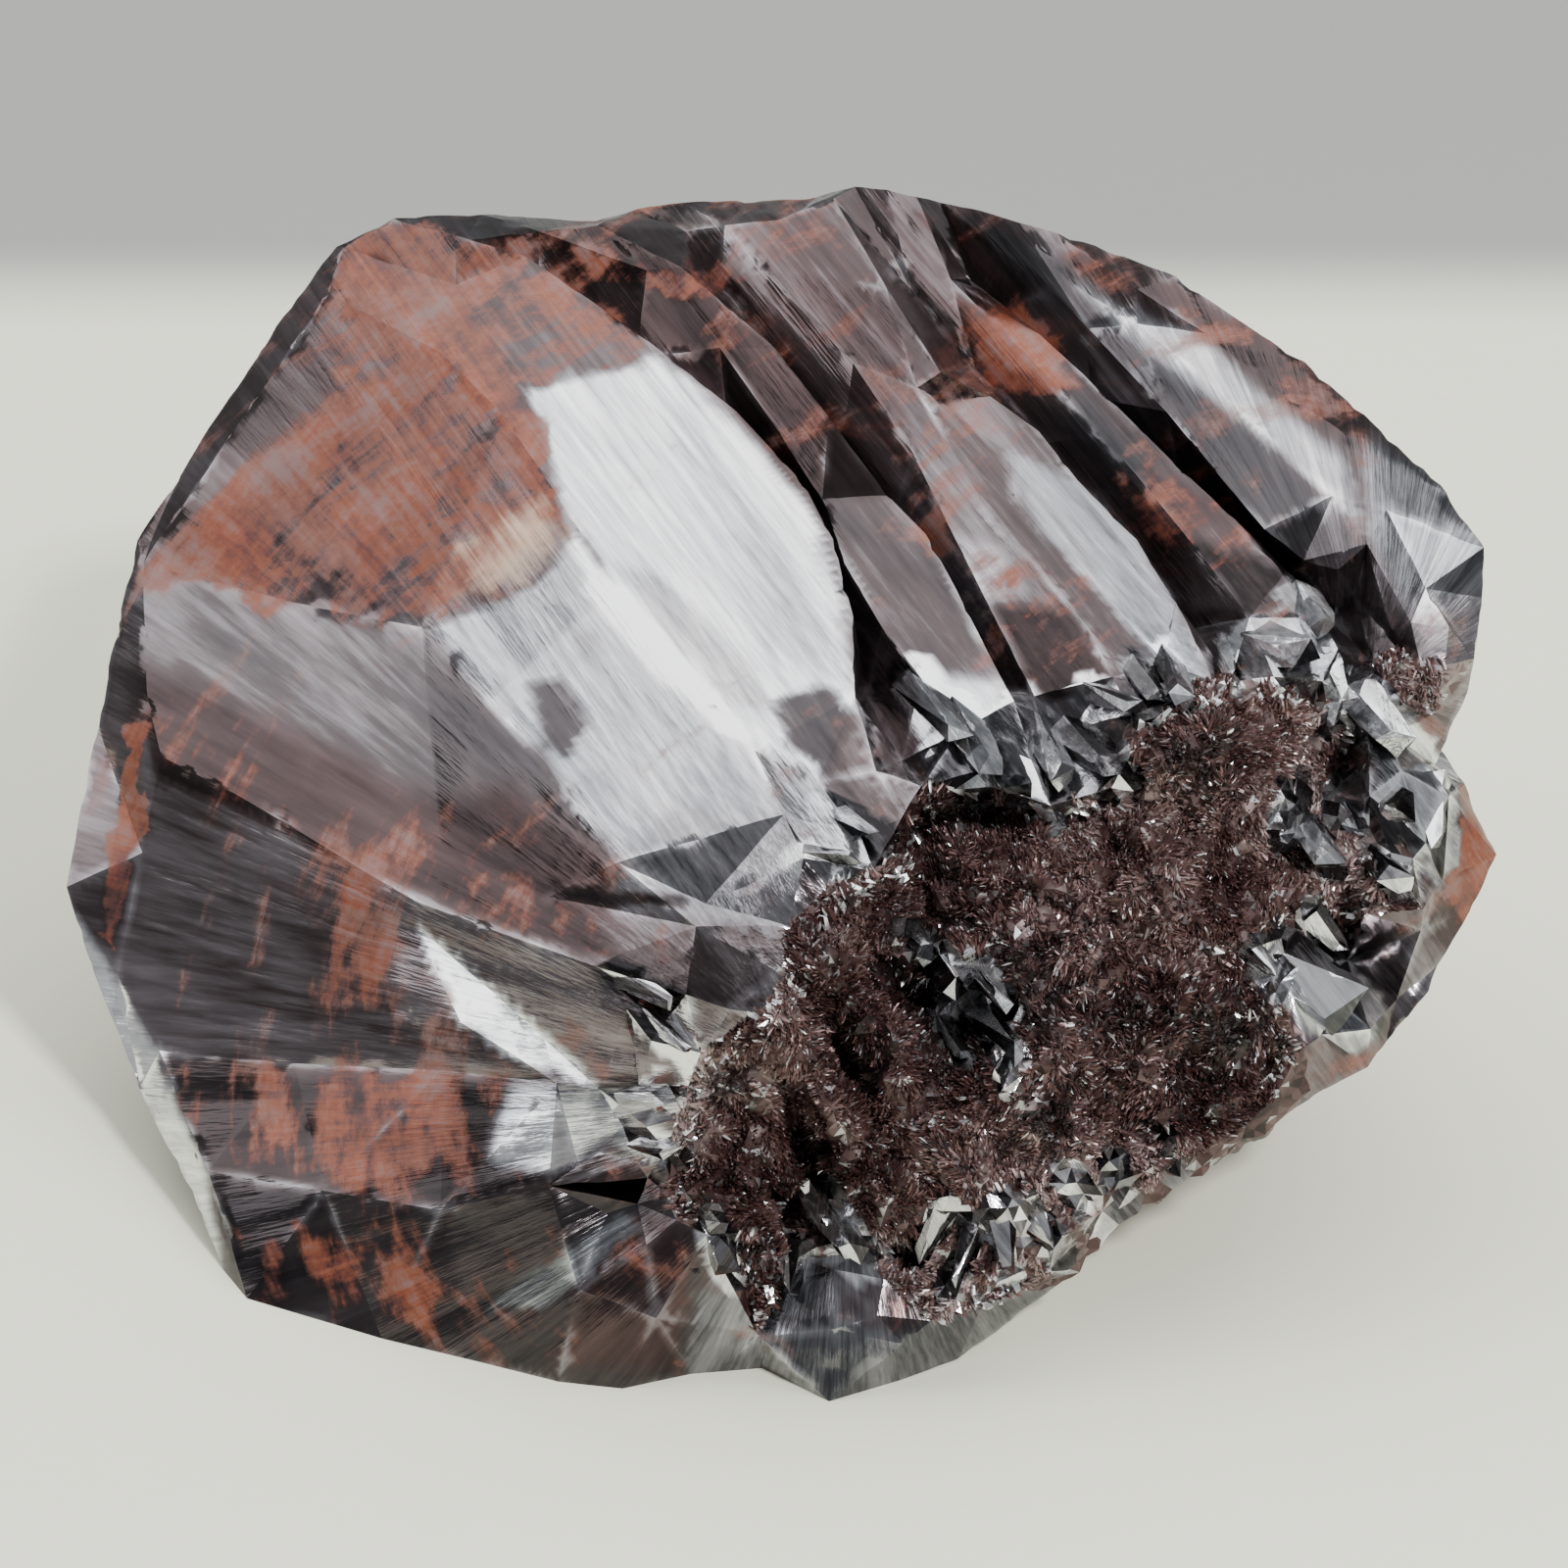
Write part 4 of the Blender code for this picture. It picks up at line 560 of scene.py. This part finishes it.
class Tree:
    """Short words for adding and joining shader nodes."""

    def __init__(self, tree):
        self.tree = tree

    def node(self, kind, **values):
        made = self.tree.nodes.new(kind)
        for key, value in values.items():
            setattr(made, key, value)
        return made

    def join(self, source, socket):
        if hasattr(source, "is_output"):
            self.tree.links.new(source, socket)
        else:
            socket.default_value = source

    def attribute(self, name, part="Fac"):
        return self.node("ShaderNodeAttribute", attribute_name=name).outputs[part]

    def sum(self, *terms):
        return self.chain("ADD", terms)

    def times(self, *terms):
        return self.chain("MULTIPLY", terms)

    def chain(self, operation, terms):
        total = terms[0]
        for term in terms[1:]:
            total = self.maths(operation, total, term)
        return total

    def maths(self, operation, one, other=0.0, clamp=False):
        made = self.node("ShaderNodeMath", operation=operation, use_clamp=clamp)
        self.join(one, made.inputs[0])
        self.join(other, made.inputs[1])
        return made.outputs[0]

    def swing(self, value, amount):
        """A number from 0 to 1 turned into a swing of that amount about zero."""
        return self.times(self.sum(value, -0.5), amount)

    def noise(self, place, scale, detail=3.0, roughness=0.55, distortion=0.0, along=0.0):
        made = self.node("ShaderNodeTexNoise", noise_dimensions="4D")
        self.join(place, made.inputs["Vector"])
        self.join(along, made.inputs["W"])
        made.inputs["Scale"].default_value = scale
        made.inputs["Detail"].default_value = detail
        made.inputs["Roughness"].default_value = roughness
        made.inputs["Distortion"].default_value = distortion
        return made.outputs["Fac"]

    def step(self, value, low, high, smallest=0.0, largest=1.0):
        made = self.node("ShaderNodeMapRange", interpolation_type="SMOOTHSTEP")
        self.join(value, made.inputs["Value"])
        self.join(low, made.inputs["From Min"])
        self.join(high, made.inputs["From Max"])
        self.join(smallest, made.inputs["To Min"])
        self.join(largest, made.inputs["To Max"])
        return made.outputs["Result"]

    def ramp(self, value, stops):
        made = self.node("ShaderNodeValToRGB")
        elements = made.color_ramp.elements
        while len(elements) < len(stops):
            elements.new(0.5)
        for element, (position, colour) in zip(elements, stops):
            element.position = position
            element.color = (*colour, 1)
        self.join(value, made.inputs["Fac"])
        return made.outputs["Color"]

    def mix(self, share, one, other):
        made = self.node("ShaderNodeMix", data_type="RGBA")
        self.join(share, made.inputs["Factor"])
        self.join(one if hasattr(one, "is_output") else (*one, 1), made.inputs["A"])
        self.join(other if hasattr(other, "is_output") else (*other, 1), made.inputs["B"])
        return made.outputs["Result"]

    def bump(self, height, strength, distance):
        made = self.node("ShaderNodeBump")
        made.inputs["Strength"].default_value = strength
        made.inputs["Distance"].default_value = distance
        self.join(height, made.inputs["Height"])
        return made.outputs["Normal"]


def stone_material(settings):
    """Mirror-bright split faces of needle ore, with brick-red rust and a pale crust.

    Their brightness comes from the tone, which is painted reflection and shade.
    """
    material, tree, shader = new_material("polished_needle_ore")
    t = Tree(tree)
    bundle, reach = t.attribute("bundle", "Vector"), t.attribute("reach")
    rust, pale = t.attribute("rust"), t.attribute("pale")
    tone, warm = t.attribute("tone"), t.attribute("warm")
    fine = t.noise(bundle, 5.2, 3.0, 0.66, along=t.times(reach, 0.05))
    broad = t.noise(bundle, 0.8, 2.0, 0.5, along=t.times(reach, 0.22))
    band = t.noise(bundle, 0.26, 5.0, 0.62, 0.4, along=t.times(reach, 2.8))
    place = t.node("ShaderNodeTexCoord").outputs["Object"]
    cloud = t.noise(place, 420.0, 5.0, 0.65, 0.5)
    speck = t.noise(place, 2300.0, 3.0, 0.7)

    # The tone brings painted reflection and shade into the level, and the glitter painted glints.
    streaks = t.sum(0.22, t.times(tone, 0.95), t.times(rust, -0.45))
    level = t.sum(
        tone, t.times(rust, -0.14), t.swing(fine, streaks), t.swing(broad, 0.50), t.swing(cloud, 0.10),
        t.swing(t.attribute("facet"), t.sum(0.08, t.attribute("glitter"))),
    )
    cold = t.ramp(level, [
        (0.00, (0.016, 0.016, 0.018)), (0.28, (0.070, 0.072, 0.078)), (0.55, (0.27, 0.28, 0.30)),
        (0.80, (0.58, 0.59, 0.61)), (1.00, settings.bright_metal),
    ])
    warmer = t.ramp(level, [
        (0.00, (0.014, 0.009, 0.009)), (0.28, settings.dark_metal), (0.55, settings.grey_metal),
        (0.80, (0.47, 0.44, 0.45)), (1.00, (0.74, 0.72, 0.71)),
    ])
    metal = t.mix(t.maths("ADD", warm, t.swing(broad, 0.8), clamp=True), cold, warmer)
    blotch = t.sum(
        rust, t.swing(cloud, 1.1), t.swing(fine, 0.15), t.swing(band, 2.2), t.swing(speck, 0.3))
    rusted = t.step(blotch, 0.24, 0.74)
    depth = t.sum(t.times(speck, 0.2), t.times(fine, 0.25), t.times(cloud, 0.20), t.times(band, 0.35))
    red = t.ramp(depth, [
        (0.41, (0.050, 0.018, 0.018)), (0.46, settings.rust), (0.52, settings.orange_rust),
        (0.60, (0.21, 0.115, 0.105)),
    ])
    crusted = t.step(t.sum(pale, t.swing(cloud, 0.9), t.swing(fine, 0.7)), 0.30, 0.85)
    colour = t.mix(t.times(rusted, t.step(broad, 0.38, 0.58, 0.75, 1.0)), metal, red)
    colour = t.mix(t.times(crusted, 0.85), colour, settings.pale_crust)
    t.join(colour, shader.inputs["Base Color"])
    dull = t.maths("MAXIMUM", rusted, crusted)
    t.join(t.step(dull, 0.0, 1.0, 0.92, 0.35), shader.inputs["Metallic"])
    sheen = t.sum(0.03, t.times(fine, 0.20), t.times(speck, 0.05), t.times(dull, 0.19))
    t.join(sheen, shader.inputs["Roughness"])
    normal = t.bump(t.sum(fine, t.times(broad, 0.5), t.times(speck, 0.04)), 0.20, 0.00012)
    t.join(normal, shader.inputs["Normal"])
    return material


def core_material(name, settings, bright):
    """Broken needle ends: dull maroon to black, or mirror-bright where the number is high, with
    painted shade towards their roots.
    """
    material, tree, shader = new_material(name)
    t = Tree(tree)
    glint = t.attribute("glint")
    height = t.attribute("height")
    place = t.node("ShaderNodeTexCoord").outputs["Object"]
    speck = t.noise(place, 2600.0, 3.0, 0.7)
    cloud = t.noise(place, 420.0, 3.0, 0.6)
    drift = t.noise(place, 130.0, 3.0, 0.6)
    shade = t.sum(
        t.times(glint, 0.48), t.swing(cloud, 1.1), t.swing(drift, 2.1), t.times(speck, 0.3), 0.06)
    dull = t.ramp(shade, [
        (0.10, (0.016, 0.008, 0.008)), (0.36, settings.core), (0.60, (0.19, 0.115, 0.108)),
        (0.85, (0.42, 0.33, 0.315)),
    ])
    shine = t.step(glint, 1 - bright - 0.02, 1 - bright + 0.02)
    colour = t.mix(shine, dull, settings.bright_metal)
    # Painted shade: darker towards the needles' roots and on the ground between them.
    colour = t.mix(t.step(height, 0.0, 0.55, 0.9, 0.0), colour, (0.010, 0.006, 0.006))
    t.join(colour, shader.inputs["Base Color"])
    t.join(t.step(shine, 0.0, 1.0, 0.30, 0.95), shader.inputs["Metallic"])
    t.join(t.sum(0.20, t.times(speck, 0.35)), shader.inputs["Roughness"])
    return material


def floor_material(settings):
    """Pale and matt near the stone, and grey further off, as painted shade of a dimmer backdrop."""
    material, tree, shader = new_material("floor")
    t = Tree(tree)
    place = t.node("ShaderNodeTexCoord").outputs["Object"]
    split = t.node("ShaderNodeSeparateXYZ")
    t.join(place, split.inputs[0])
    cloud = t.noise(place, 9.0, 4.0, 0.6)
    speck = t.noise(place, 700.0, 3.0, 0.6)
    grain = t.step(t.sum(t.times(cloud, 0.7), t.times(speck, 0.3)), 0.3, 0.7, 0.975, 1.0)
    # The grey further off is painted shade, standing for a dimmer backdrop.
    colour = t.mix(t.step(split.outputs["Y"], 0.057, 0.068), settings.floor, settings.distance)
    scaled = t.node("ShaderNodeVectorMath", operation="SCALE")
    t.join(colour, scaled.inputs[0])
    t.join(grain, scaled.inputs["Scale"])
    t.join(scaled.outputs[0], shader.inputs["Base Color"])
    shader.inputs["Roughness"].default_value = 0.6
    shader.inputs["Specular IOR Level"].default_value = 0.25
    return material


class HEMATITE_PG_stone(bpy.types.PropertyGroup):
    """Sizes and colours of the stone."""

    edge_limit: bpy.props.FloatProperty(
        name="Finest facet", description="Longest edge left on the split faces", default=0.47 * MM,
        unit="LENGTH", subtype="DISTANCE", min=0.2 * MM)
    fibre_relief: bpy.props.FloatProperty(
        name="Fibre relief", description="Height of the needles' lines on the split faces",
        default=0.045 * MM, unit="LENGTH", subtype="DISTANCE")
    edge_wear: bpy.props.FloatProperty(
        name="Edge wear", description="Depth of the nicks along the sharp edges",
        default=0.07 * MM, unit="LENGTH", subtype="DISTANCE")
    core_relief: bpy.props.FloatProperty(
        name="Core relief", description="Extra roughness of the core under its needles",
        default=0.16 * MM, unit="LENGTH", subtype="DISTANCE")
    # Also the colour of the brightest painted reflections on the split faces and of the bright needle ends.
    bright_metal: bpy.props.FloatVectorProperty(
        name="Bright metal", description="Freshly split faces", default=(0.86, 0.87, 0.88),
        size=3, subtype="COLOR", min=0, max=1)
    grey_metal: bpy.props.FloatVectorProperty(
        name="Grey metal", description="Most of the split faces", default=(0.225, 0.195, 0.208),
        size=3, subtype="COLOR", min=0, max=1)
    dark_metal: bpy.props.FloatVectorProperty(
        name="Dark metal", description="Dull brown-black faces", default=(0.074, 0.050, 0.050),
        size=3, subtype="COLOR", min=0, max=1)
    rust: bpy.props.FloatVectorProperty(
        name="Rust", description="Brick-red iron oxide", default=(0.115, 0.031, 0.023),
        size=3, subtype="COLOR", min=0, max=1)
    orange_rust: bpy.props.FloatVectorProperty(
        name="Orange rust", description="Brightest iron oxide", default=(0.215, 0.058, 0.028),
        size=3, subtype="COLOR", min=0, max=1)
    pale_crust: bpy.props.FloatVectorProperty(
        name="Pale crust", description="Cream-coloured crust over the rust",
        default=(0.60, 0.43, 0.31), size=3, subtype="COLOR", min=0, max=1)
    core: bpy.props.FloatVectorProperty(
        name="Core", description="Broken needle ends", default=(0.085, 0.036, 0.032),
        size=3, subtype="COLOR", min=0, max=1)


class HEMATITE_PG_needles(bpy.types.PropertyGroup):
    """Sizes and numbers of the core's needles and of the splinters round it."""

    count: bpy.props.IntProperty(
        name="Needles", description="Broken needle ends on each lobe", default=22000, min=100,
        max=24000)
    length: bpy.props.FloatProperty(
        name="Needle length", description="Mean length of a broken needle", default=0.40 * MM,
        unit="LENGTH", subtype="DISTANCE")
    width: bpy.props.FloatProperty(
        name="Needle width", description="Mean width of a broken needle", default=0.10 * MM,
        unit="LENGTH", subtype="DISTANCE")
    splinters: bpy.props.IntProperty(
        name="Splinters", description="Bright splinters round the core", default=900, min=10)


class HEMATITE_PG_stage(bpy.types.PropertyGroup):
    """The studio."""

    floor: bpy.props.FloatVectorProperty(
        name="Floor", description="Colour of the floor", default=(0.94, 0.94, 0.77), size=3,
        subtype="COLOR", min=0, max=1)
    # The grey further off paints the shade of a dimmer backdrop.
    distance: bpy.props.FloatVectorProperty(
        name="Distance", description="Colour of the floor further off",
        default=(0.34, 0.34, 0.325), size=3, subtype="COLOR", min=0, max=1)
    sky: bpy.props.FloatProperty(
        name="Room light", description="Strength of the light from all round", default=0.40)
    overhead: bpy.props.FloatProperty(
        name="Overhead light", description="Power of the overhead softbox", default=1.7,
        unit="POWER")


class HEMATITE_OT_stone(bpy.types.Operator):
    """Dress the stone: finer facets, fibre lines, worn edges and its finish"""

    bl_idname = "hematite.stone"
    bl_label = "Stone"

    def execute(self, context):
        settings = context.scene.hematite_stone
        stone = copy_of_node()
        mark_facets(stone)
        split_long_edges(stone, settings.edge_limit)
        shape_faces(stone, settings)
        lay_out_finish(stone)
        stone.data.materials.append(stone_material(settings))
        stone.data.materials.append(core_material("core_ground", settings, GROUND_BRIGHT))
        assign_core(stone)
        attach(stone, "root")
        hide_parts(NODE)
        return {"FINISHED"}


def copy_of_node():
    """A copy of the CAD stone with its loose triangles joined."""
    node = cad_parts[NODE]
    stone = node.copy()
    stone.data = node.data.copy()
    stone.name = "stone"
    stone.parent = None
    bpy.context.scene.collection.objects.link(stone)
    for key in list(stone.keys()):
        del stone[key]
    stone.data.materials.clear()
    edit_all(stone, bpy.ops.mesh.remove_doubles, threshold=TOUCHING)
    if stone.data.has_custom_normals:
        bpy.ops.mesh.customdata_custom_splitnormals_clear()
    return stone


def mark_facets(stone):
    """Marks the edges between facets as sharp and numbers the facets."""
    store(stone.data, "facet", facet_numbers(stone.data, FACET_TURN), "FACE")
    only(stone)
    bpy.ops.object.mode_set(mode="EDIT")
    bpy.ops.mesh.select_mode(type="EDGE")
    bpy.ops.mesh.select_all(action="DESELECT")
    bpy.ops.mesh.edges_select_sharp(sharpness=SHARP_TURN)
    bpy.ops.mesh.mark_sharp()
    bpy.ops.object.mode_set(mode="OBJECT")
    bpy.ops.object.shade_smooth(keep_sharp_edges=True)


def core_share(points, normals):
    """Which points belong to the broken core."""
    across, down, _ = to_sheet(points)
    towards_eye = -(normals @ view_axes()[2])
    inside = inside_outline(across, down, CORE_OUTLINE) & ~on_shard(across, down)
    return inside & (towards_eye > CORE_FACING)


def shape_faces(stone, settings):
    """Raises the needles' lines, nicks the sharp edges and roughens the core."""
    mesh = stone.data
    points, normals = coordinates(mesh), vertex_normals(mesh)
    bundle, reach = growth_of(points)
    core = core_share(points, normals)
    sharp = np.zeros(len(points), bool)
    for edge in mesh.edges:
        if edge.use_edge_sharp:
            sharp[list(edge.vertices)] = True
    lift = np.empty(len(points))
    for i, point in enumerate(points):
        if core[i]:
            lift[i] = settings.core_relief * 2 * noise.noise(Vector(point) * CORE_GRAIN)
            continue
        drift = LINE_DRIFT * reach[i]
        lines = noise.noise(Vector(bundle[i]) * LINE_GRAIN + drift)
        swell = noise.noise(Vector(bundle[i]) * SWELL_GRAIN + drift)
        lift[i] = settings.fibre_relief * (lines + 1.2 * swell)
        if sharp[i]:
            nick = max(0, noise.noise(Vector(point) * NICK_GRAIN) - 0.05)
            lift[i] -= settings.edge_wear * 2.2 * nick
    lift *= np.clip(points[:, 2] / FOOT_HEIGHT, 0, 1)
    moved = np.clip(points + normals * lift[:, None], *START_BOUNDS)
    mesh.vertices.foreach_set("co", moved.ravel())
    mesh.update()


def lay_out_finish(stone):
    """Keeps each vertex's place among the needles, and how it looks there."""
    mesh = stone.data
    points, normals = coordinates(mesh), vertex_normals(mesh)
    across, down, _ = to_sheet(points)
    seen = np.clip(-(normals @ view_axes()[2]) * HORIZON + 0.5, 0, 1)
    look = painted_look(across, down)
    # A painted highlight along the sharp edges brightens the tone there.
    look["tone"] += painted_edge_highlight(mesh, points)
    hidden = hidden_look(points)
    for name, values in look.items():
        store(mesh, name, values * seen + hidden[name] * (1 - seen))
    bundle, reach = growth_of(points)
    store(mesh, "bundle", bundle)
    store(mesh, "reach", reach)
    store(mesh, "glint", np.random.default_rng(5).random(len(mesh.polygons)), "FACE")
    # The ground's depth among the needles, which sets its painted shade.
    store(mesh, "height", np.full(len(points), GROUND_HEIGHT))


def painted_edge_highlight(mesh, points):
    """How much brighter the vertices on sharp edges are: a painted highlight along them."""
    shine = np.zeros(len(points))
    mean, swing, grain = EDGE_HIGHLIGHT
    for edge in mesh.edges:
        if edge.use_edge_sharp:
            for index in edge.vertices:
                shine[index] = max(0, mean + swing * noise.noise(Vector(points[index]) * grain))
    return shine


def hidden_look(points):
    """The look of the sides and back, in drifting patches like those of the front."""
    look = {name: np.zeros(len(points)) for name in PLAIN_LOOK}
    for name, (mean, swing, grain, seed) in HIDDEN_LOOK.items():
        shift = Vector((0, 0, seed))
        look[name] = mean + swing * np.array([noise.noise(Vector(p) * grain + shift) for p in points])
    return look


def assign_core(stone):
    """Gives the broken core its own finish."""
    mesh = stone.data
    centres = np.array([f.center for f in mesh.polygons])
    normals = np.array([f.normal for f in mesh.polygons])
    core = core_share(centres, normals)
    mesh.polygons.foreach_set("material_index", core.astype(np.int32))
    mesh.update()


def core_spots(chance, count, low=-math.inf, high=math.inf):
    """Seeded places on the CAD core, between two places across: points, normals."""
    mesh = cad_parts[NODE].data
    corners = coordinates(mesh)
    triangles = np.array([f.vertices[:] for f in mesh.polygons])
    a, b, c = (corners[triangles[:, i]] for i in range(3))
    crosses = np.cross(b - a, c - a)
    areas = np.linalg.norm(crosses, axis=1) / 2
    normals = crosses / np.maximum(areas * 2, 1e-12)[:, None]
    centres = (a + b + c) / 3
    across, _, _ = to_sheet(centres)
    core = core_share(centres, normals) & (areas < CORE_FACET) & (across > low) & (across <= high)
    weights = np.where(core, areas, 0)
    picked = chance.choice(len(areas), count, p=weights / weights.sum())
    one, other = chance.random(count), chance.random(count)
    folded = one + other > 1
    one[folded], other[folded] = 1 - one[folded], 1 - other[folded]
    points = a[picked] + (b - a)[picked] * one[:, None] + (c - a)[picked] * other[:, None]
    return points, normals[picked]


def unit(vectors):
    """Directions, each of length 1."""
    return vectors / np.maximum(np.linalg.norm(vectors, axis=1), 1e-12)[:, None]


def bundle_field(points, scale, seed):
    """A slowly turning direction at each point, so that neighbours lean together."""
    return np.array([noise.noise_vector(Vector(p) * scale + Vector((seed, 0, 0))) for p in points])


def prisms(name, roots, directions, lengths, widths, chance, thin=1.0):
    """One closed mesh of three-sided needles, each with a slanted broken end."""
    tips = roots + directions * lengths[:, None]
    low, high = np.array(START_BOUNDS)[:, None]
    margin = widths[:, None]
    inside = (np.minimum(roots, tips) > low + margin) & (np.maximum(roots, tips) < high - margin)
    kept = inside.all(axis=1)
    roots, directions, lengths, widths = roots[kept], directions[kept], lengths[kept], widths[kept]
    count = len(roots)
    helper = unit(np.cross(directions, unit(chance.normal(size=(count, 3)))))
    other = np.cross(directions, helper)
    vertices = np.empty((count, 6, 3))
    for corner in range(3):
        angle = corner * 2 * math.pi / 3 + chance.uniform(-0.35, 0.35, count)
        side = helper * np.cos(angle)[:, None] * thin + other * np.sin(angle)[:, None]
        vertices[:, corner] = roots + side * (widths / 2)[:, None]
        slant = lengths * chance.uniform(0.72, 1.0, count)
        taper = chance.uniform(0.25, 0.75, count)
        vertices[:, corner + 3] = (roots + side * (widths / 2 * taper)[:, None]
                                   + directions * slant[:, None])
    sides = [(0, 2, 1), (3, 4, 5), (0, 1, 4, 3), (1, 2, 5, 4), (2, 0, 3, 5)]
    faces = [[base + i for i in side] for base in range(0, count * 6, 6) for side in sides]
    mesh = bpy.data.meshes.new(name)
    mesh.from_pydata(vertices.reshape(-1, 3).tolist(), [], faces)
    mesh.update()
    store(mesh, "glint", np.repeat(chance.random(count), len(sides)), "FACE")
    # 0 at the roots and 1 at the tips, which sets the painted shade towards the roots.
    store(mesh, "height", np.tile([0.0, 0, 0, 1, 1, 1], count))
    obj = bpy.data.objects.new(name, mesh)
    bpy.context.scene.collection.objects.link(obj)
    edit_all(obj, bpy.ops.mesh.normals_make_consistent, inside=False)
    return obj


class HEMATITE_OT_core(bpy.types.Operator):
    """Grow the broken needle ends over the core, in three lobes"""

    bl_idname = "hematite.core"
    bl_label = "Broken core"

    def execute(self, context):
        needles = context.scene.hematite_needles
        finish = core_material("needle_ends", context.scene.hematite_stone, NEEDLE_BRIGHT)
        for index, (name, low, high) in enumerate(LOBES):
            chance = np.random.default_rng(21 + index)
            points, normals = core_spots(chance, needles.count, low, high)
            lean = sum(bundle_field(points, grain, seed) * strength for grain, seed, strength in LEANS)
            directions = unit(normals * 0.7 + lean + chance.normal(scale=0.14, size=points.shape))
            clump = np.array([noise.noise(Vector(p) * 1300) for p in points])
            spread = chance.uniform(0.7, 1.3, len(points))
            lengths = needles.length * (spread * (1 + 0.7 * clump) + 0.15)
            widths = needles.width * chance.uniform(0.5, 1.5, len(points))
            roots = points - directions * (needles.length * 0.70)
            lobe = prisms(name, roots, directions, lengths, widths, chance)
            lobe.data.materials.append(finish)
            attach(lobe, "root")
        return {"FINISHED"}


class HEMATITE_OT_splinters(bpy.types.Operator):
    """Set the mirror-bright splinters round the core"""

    bl_idname = "hematite.splinters"
    bl_label = "Splinters"

    def execute(self, context):
        needles = context.scene.hematite_needles
        chance = np.random.default_rng(33)
        points, normals = core_spots(chance, needles.splinters * 14)
        across, down, _ = to_sheet(points)
        near = outline_distance(across, down, CORE_OUTLINE) < SPLINTER_BAND
        points, normals = points[near][:needles.splinters], normals[near][:needles.splinters]
        outward = unit(growth_of(points)[0])
        directions = unit(outward * 0.5 + normals * 0.7 + chance.normal(scale=0.25, size=points.shape))
        lengths = SPLINTER_LENGTH * chance.uniform(0.45, 1.1, len(points))
        widths = SPLINTER_WIDTH * chance.uniform(0.3, 1.2, len(points))
        roots = points - directions * (lengths * 0.5)[:, None]
        made = prisms("splinters", roots, directions, lengths, widths, chance, thin=0.5)
        finish = core_material("bright_splinters", context.scene.hematite_stone, SPLINTER_BRIGHT)
        made.data.materials.append(finish)
        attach(made, "root")
        return {"FINISHED"}


class HEMATITE_OT_stage(bpy.types.Operator):
    """Set up the floor, the lights and the camera"""

    bl_idname = "hematite.stage"
    bl_label = "Studio"

    def execute(self, context):
        settings = context.scene.hematite_stage
        add_floor(settings)
        add_lights(settings)
        add_camera()
        return {"FINISHED"}


def add_floor(settings):
    """A wide pale floor, grey in the distance as painted shade."""
    bpy.ops.mesh.primitive_plane_add(size=2)
    floor = bpy.context.object
    floor.name = "floor"
    floor.data.materials.append(floor_material(settings))


def add_light(name, place, aim, size, power):
    """A softbox that looks at a point."""
    bpy.ops.object.light_add(type="AREA", location=place)
    light = bpy.context.object
    light.name = name
    light.data.shape = "RECTANGLE"
    light.data.size, light.data.size_y = size
    light.data.energy = power
    light.rotation_euler = (Vector(aim) - Vector(place)).to_track_quat("-Z", "Y").to_euler()


def add_lights(settings):
    """Soft light from the room, a large softbox behind and above, one at the left, a key in front."""
    world = bpy.data.worlds.new("room")
    bpy.context.scene.world = world
    world.use_nodes = True
    background = world.node_tree.nodes["Background"]
    background.inputs["Color"].default_value = (0.93, 0.96, 1.0, 1)
    background.inputs["Strength"].default_value = settings.sky
    add_light("overhead", (0.02, 0.16, 0.36), (0, 0.03, 0), (0.56, 0.36), settings.overhead)
    add_light("left_fill", (-0.36, 0.03, 0.26), (0, 0, 0.01), (0.24, 0.24), 0.55)
    add_light("front_key", (0.16, -0.26, 0.30), (0, -0.01, 0.01), (0.05, 0.05), 1.8)


def add_camera():
    """The camera at the eye, square to the sheet."""
    _, _, away = view_axes()
    bpy.ops.object.camera_add(location=SHEET_PLACE - away * EYE_DISTANCE)
    camera = bpy.context.object
    camera.rotation_euler = Vector(away).to_track_quat("-Z", "Y").to_euler()
    camera.data.sensor_width = SENSOR
    camera.data.lens = SENSOR * EYE_DISTANCE / (SHEET_SIDE * SQUARE)
    camera.data.clip_start = 5 * MM
    bpy.context.scene.camera = camera


class HEMATITE_PT_panel(bpy.types.Panel):
    """Lists the pieces of the stone and the studio"""

    bl_idname = "HEMATITE_PT_panel"
    bl_label = "Hematite"
    bl_space_type = "VIEW_3D"
    bl_region_type = "UI"
    bl_category = "Hematite"

    def draw(self, context):
        for operator in OPERATORS:
            self.layout.operator(operator.bl_idname)
        for group in (context.scene.hematite_stone, context.scene.hematite_needles,
                      context.scene.hematite_stage):
            for name in group.bl_rna.properties.keys():
                if name not in ("rna_type", "name"):
                    self.layout.prop(group, name)


OPERATORS = (HEMATITE_OT_stone, HEMATITE_OT_core, HEMATITE_OT_splinters, HEMATITE_OT_stage)
GROUPS = {
    "hematite_stone": HEMATITE_PG_stone,
    "hematite_needles": HEMATITE_PG_needles,
    "hematite_stage": HEMATITE_PG_stage,
}


def register():
    for made in (*GROUPS.values(), *OPERATORS, HEMATITE_PT_panel):
        bpy.utils.register_class(made)
    for name, group in GROUPS.items():
        setattr(bpy.types.Scene, name, bpy.props.PointerProperty(type=group))


def unregister():
    for name in GROUPS:
        delattr(bpy.types.Scene, name)
    for made in reversed((*GROUPS.values(), *OPERATORS, HEMATITE_PT_panel)):
        bpy.utils.unregister_class(made)


def main():
    register()
    bpy.ops.hematite.stone()
    bpy.ops.hematite.core()
    bpy.ops.hematite.splinters()
    bpy.ops.hematite.stage()


if __name__ == "__main__":
    main()
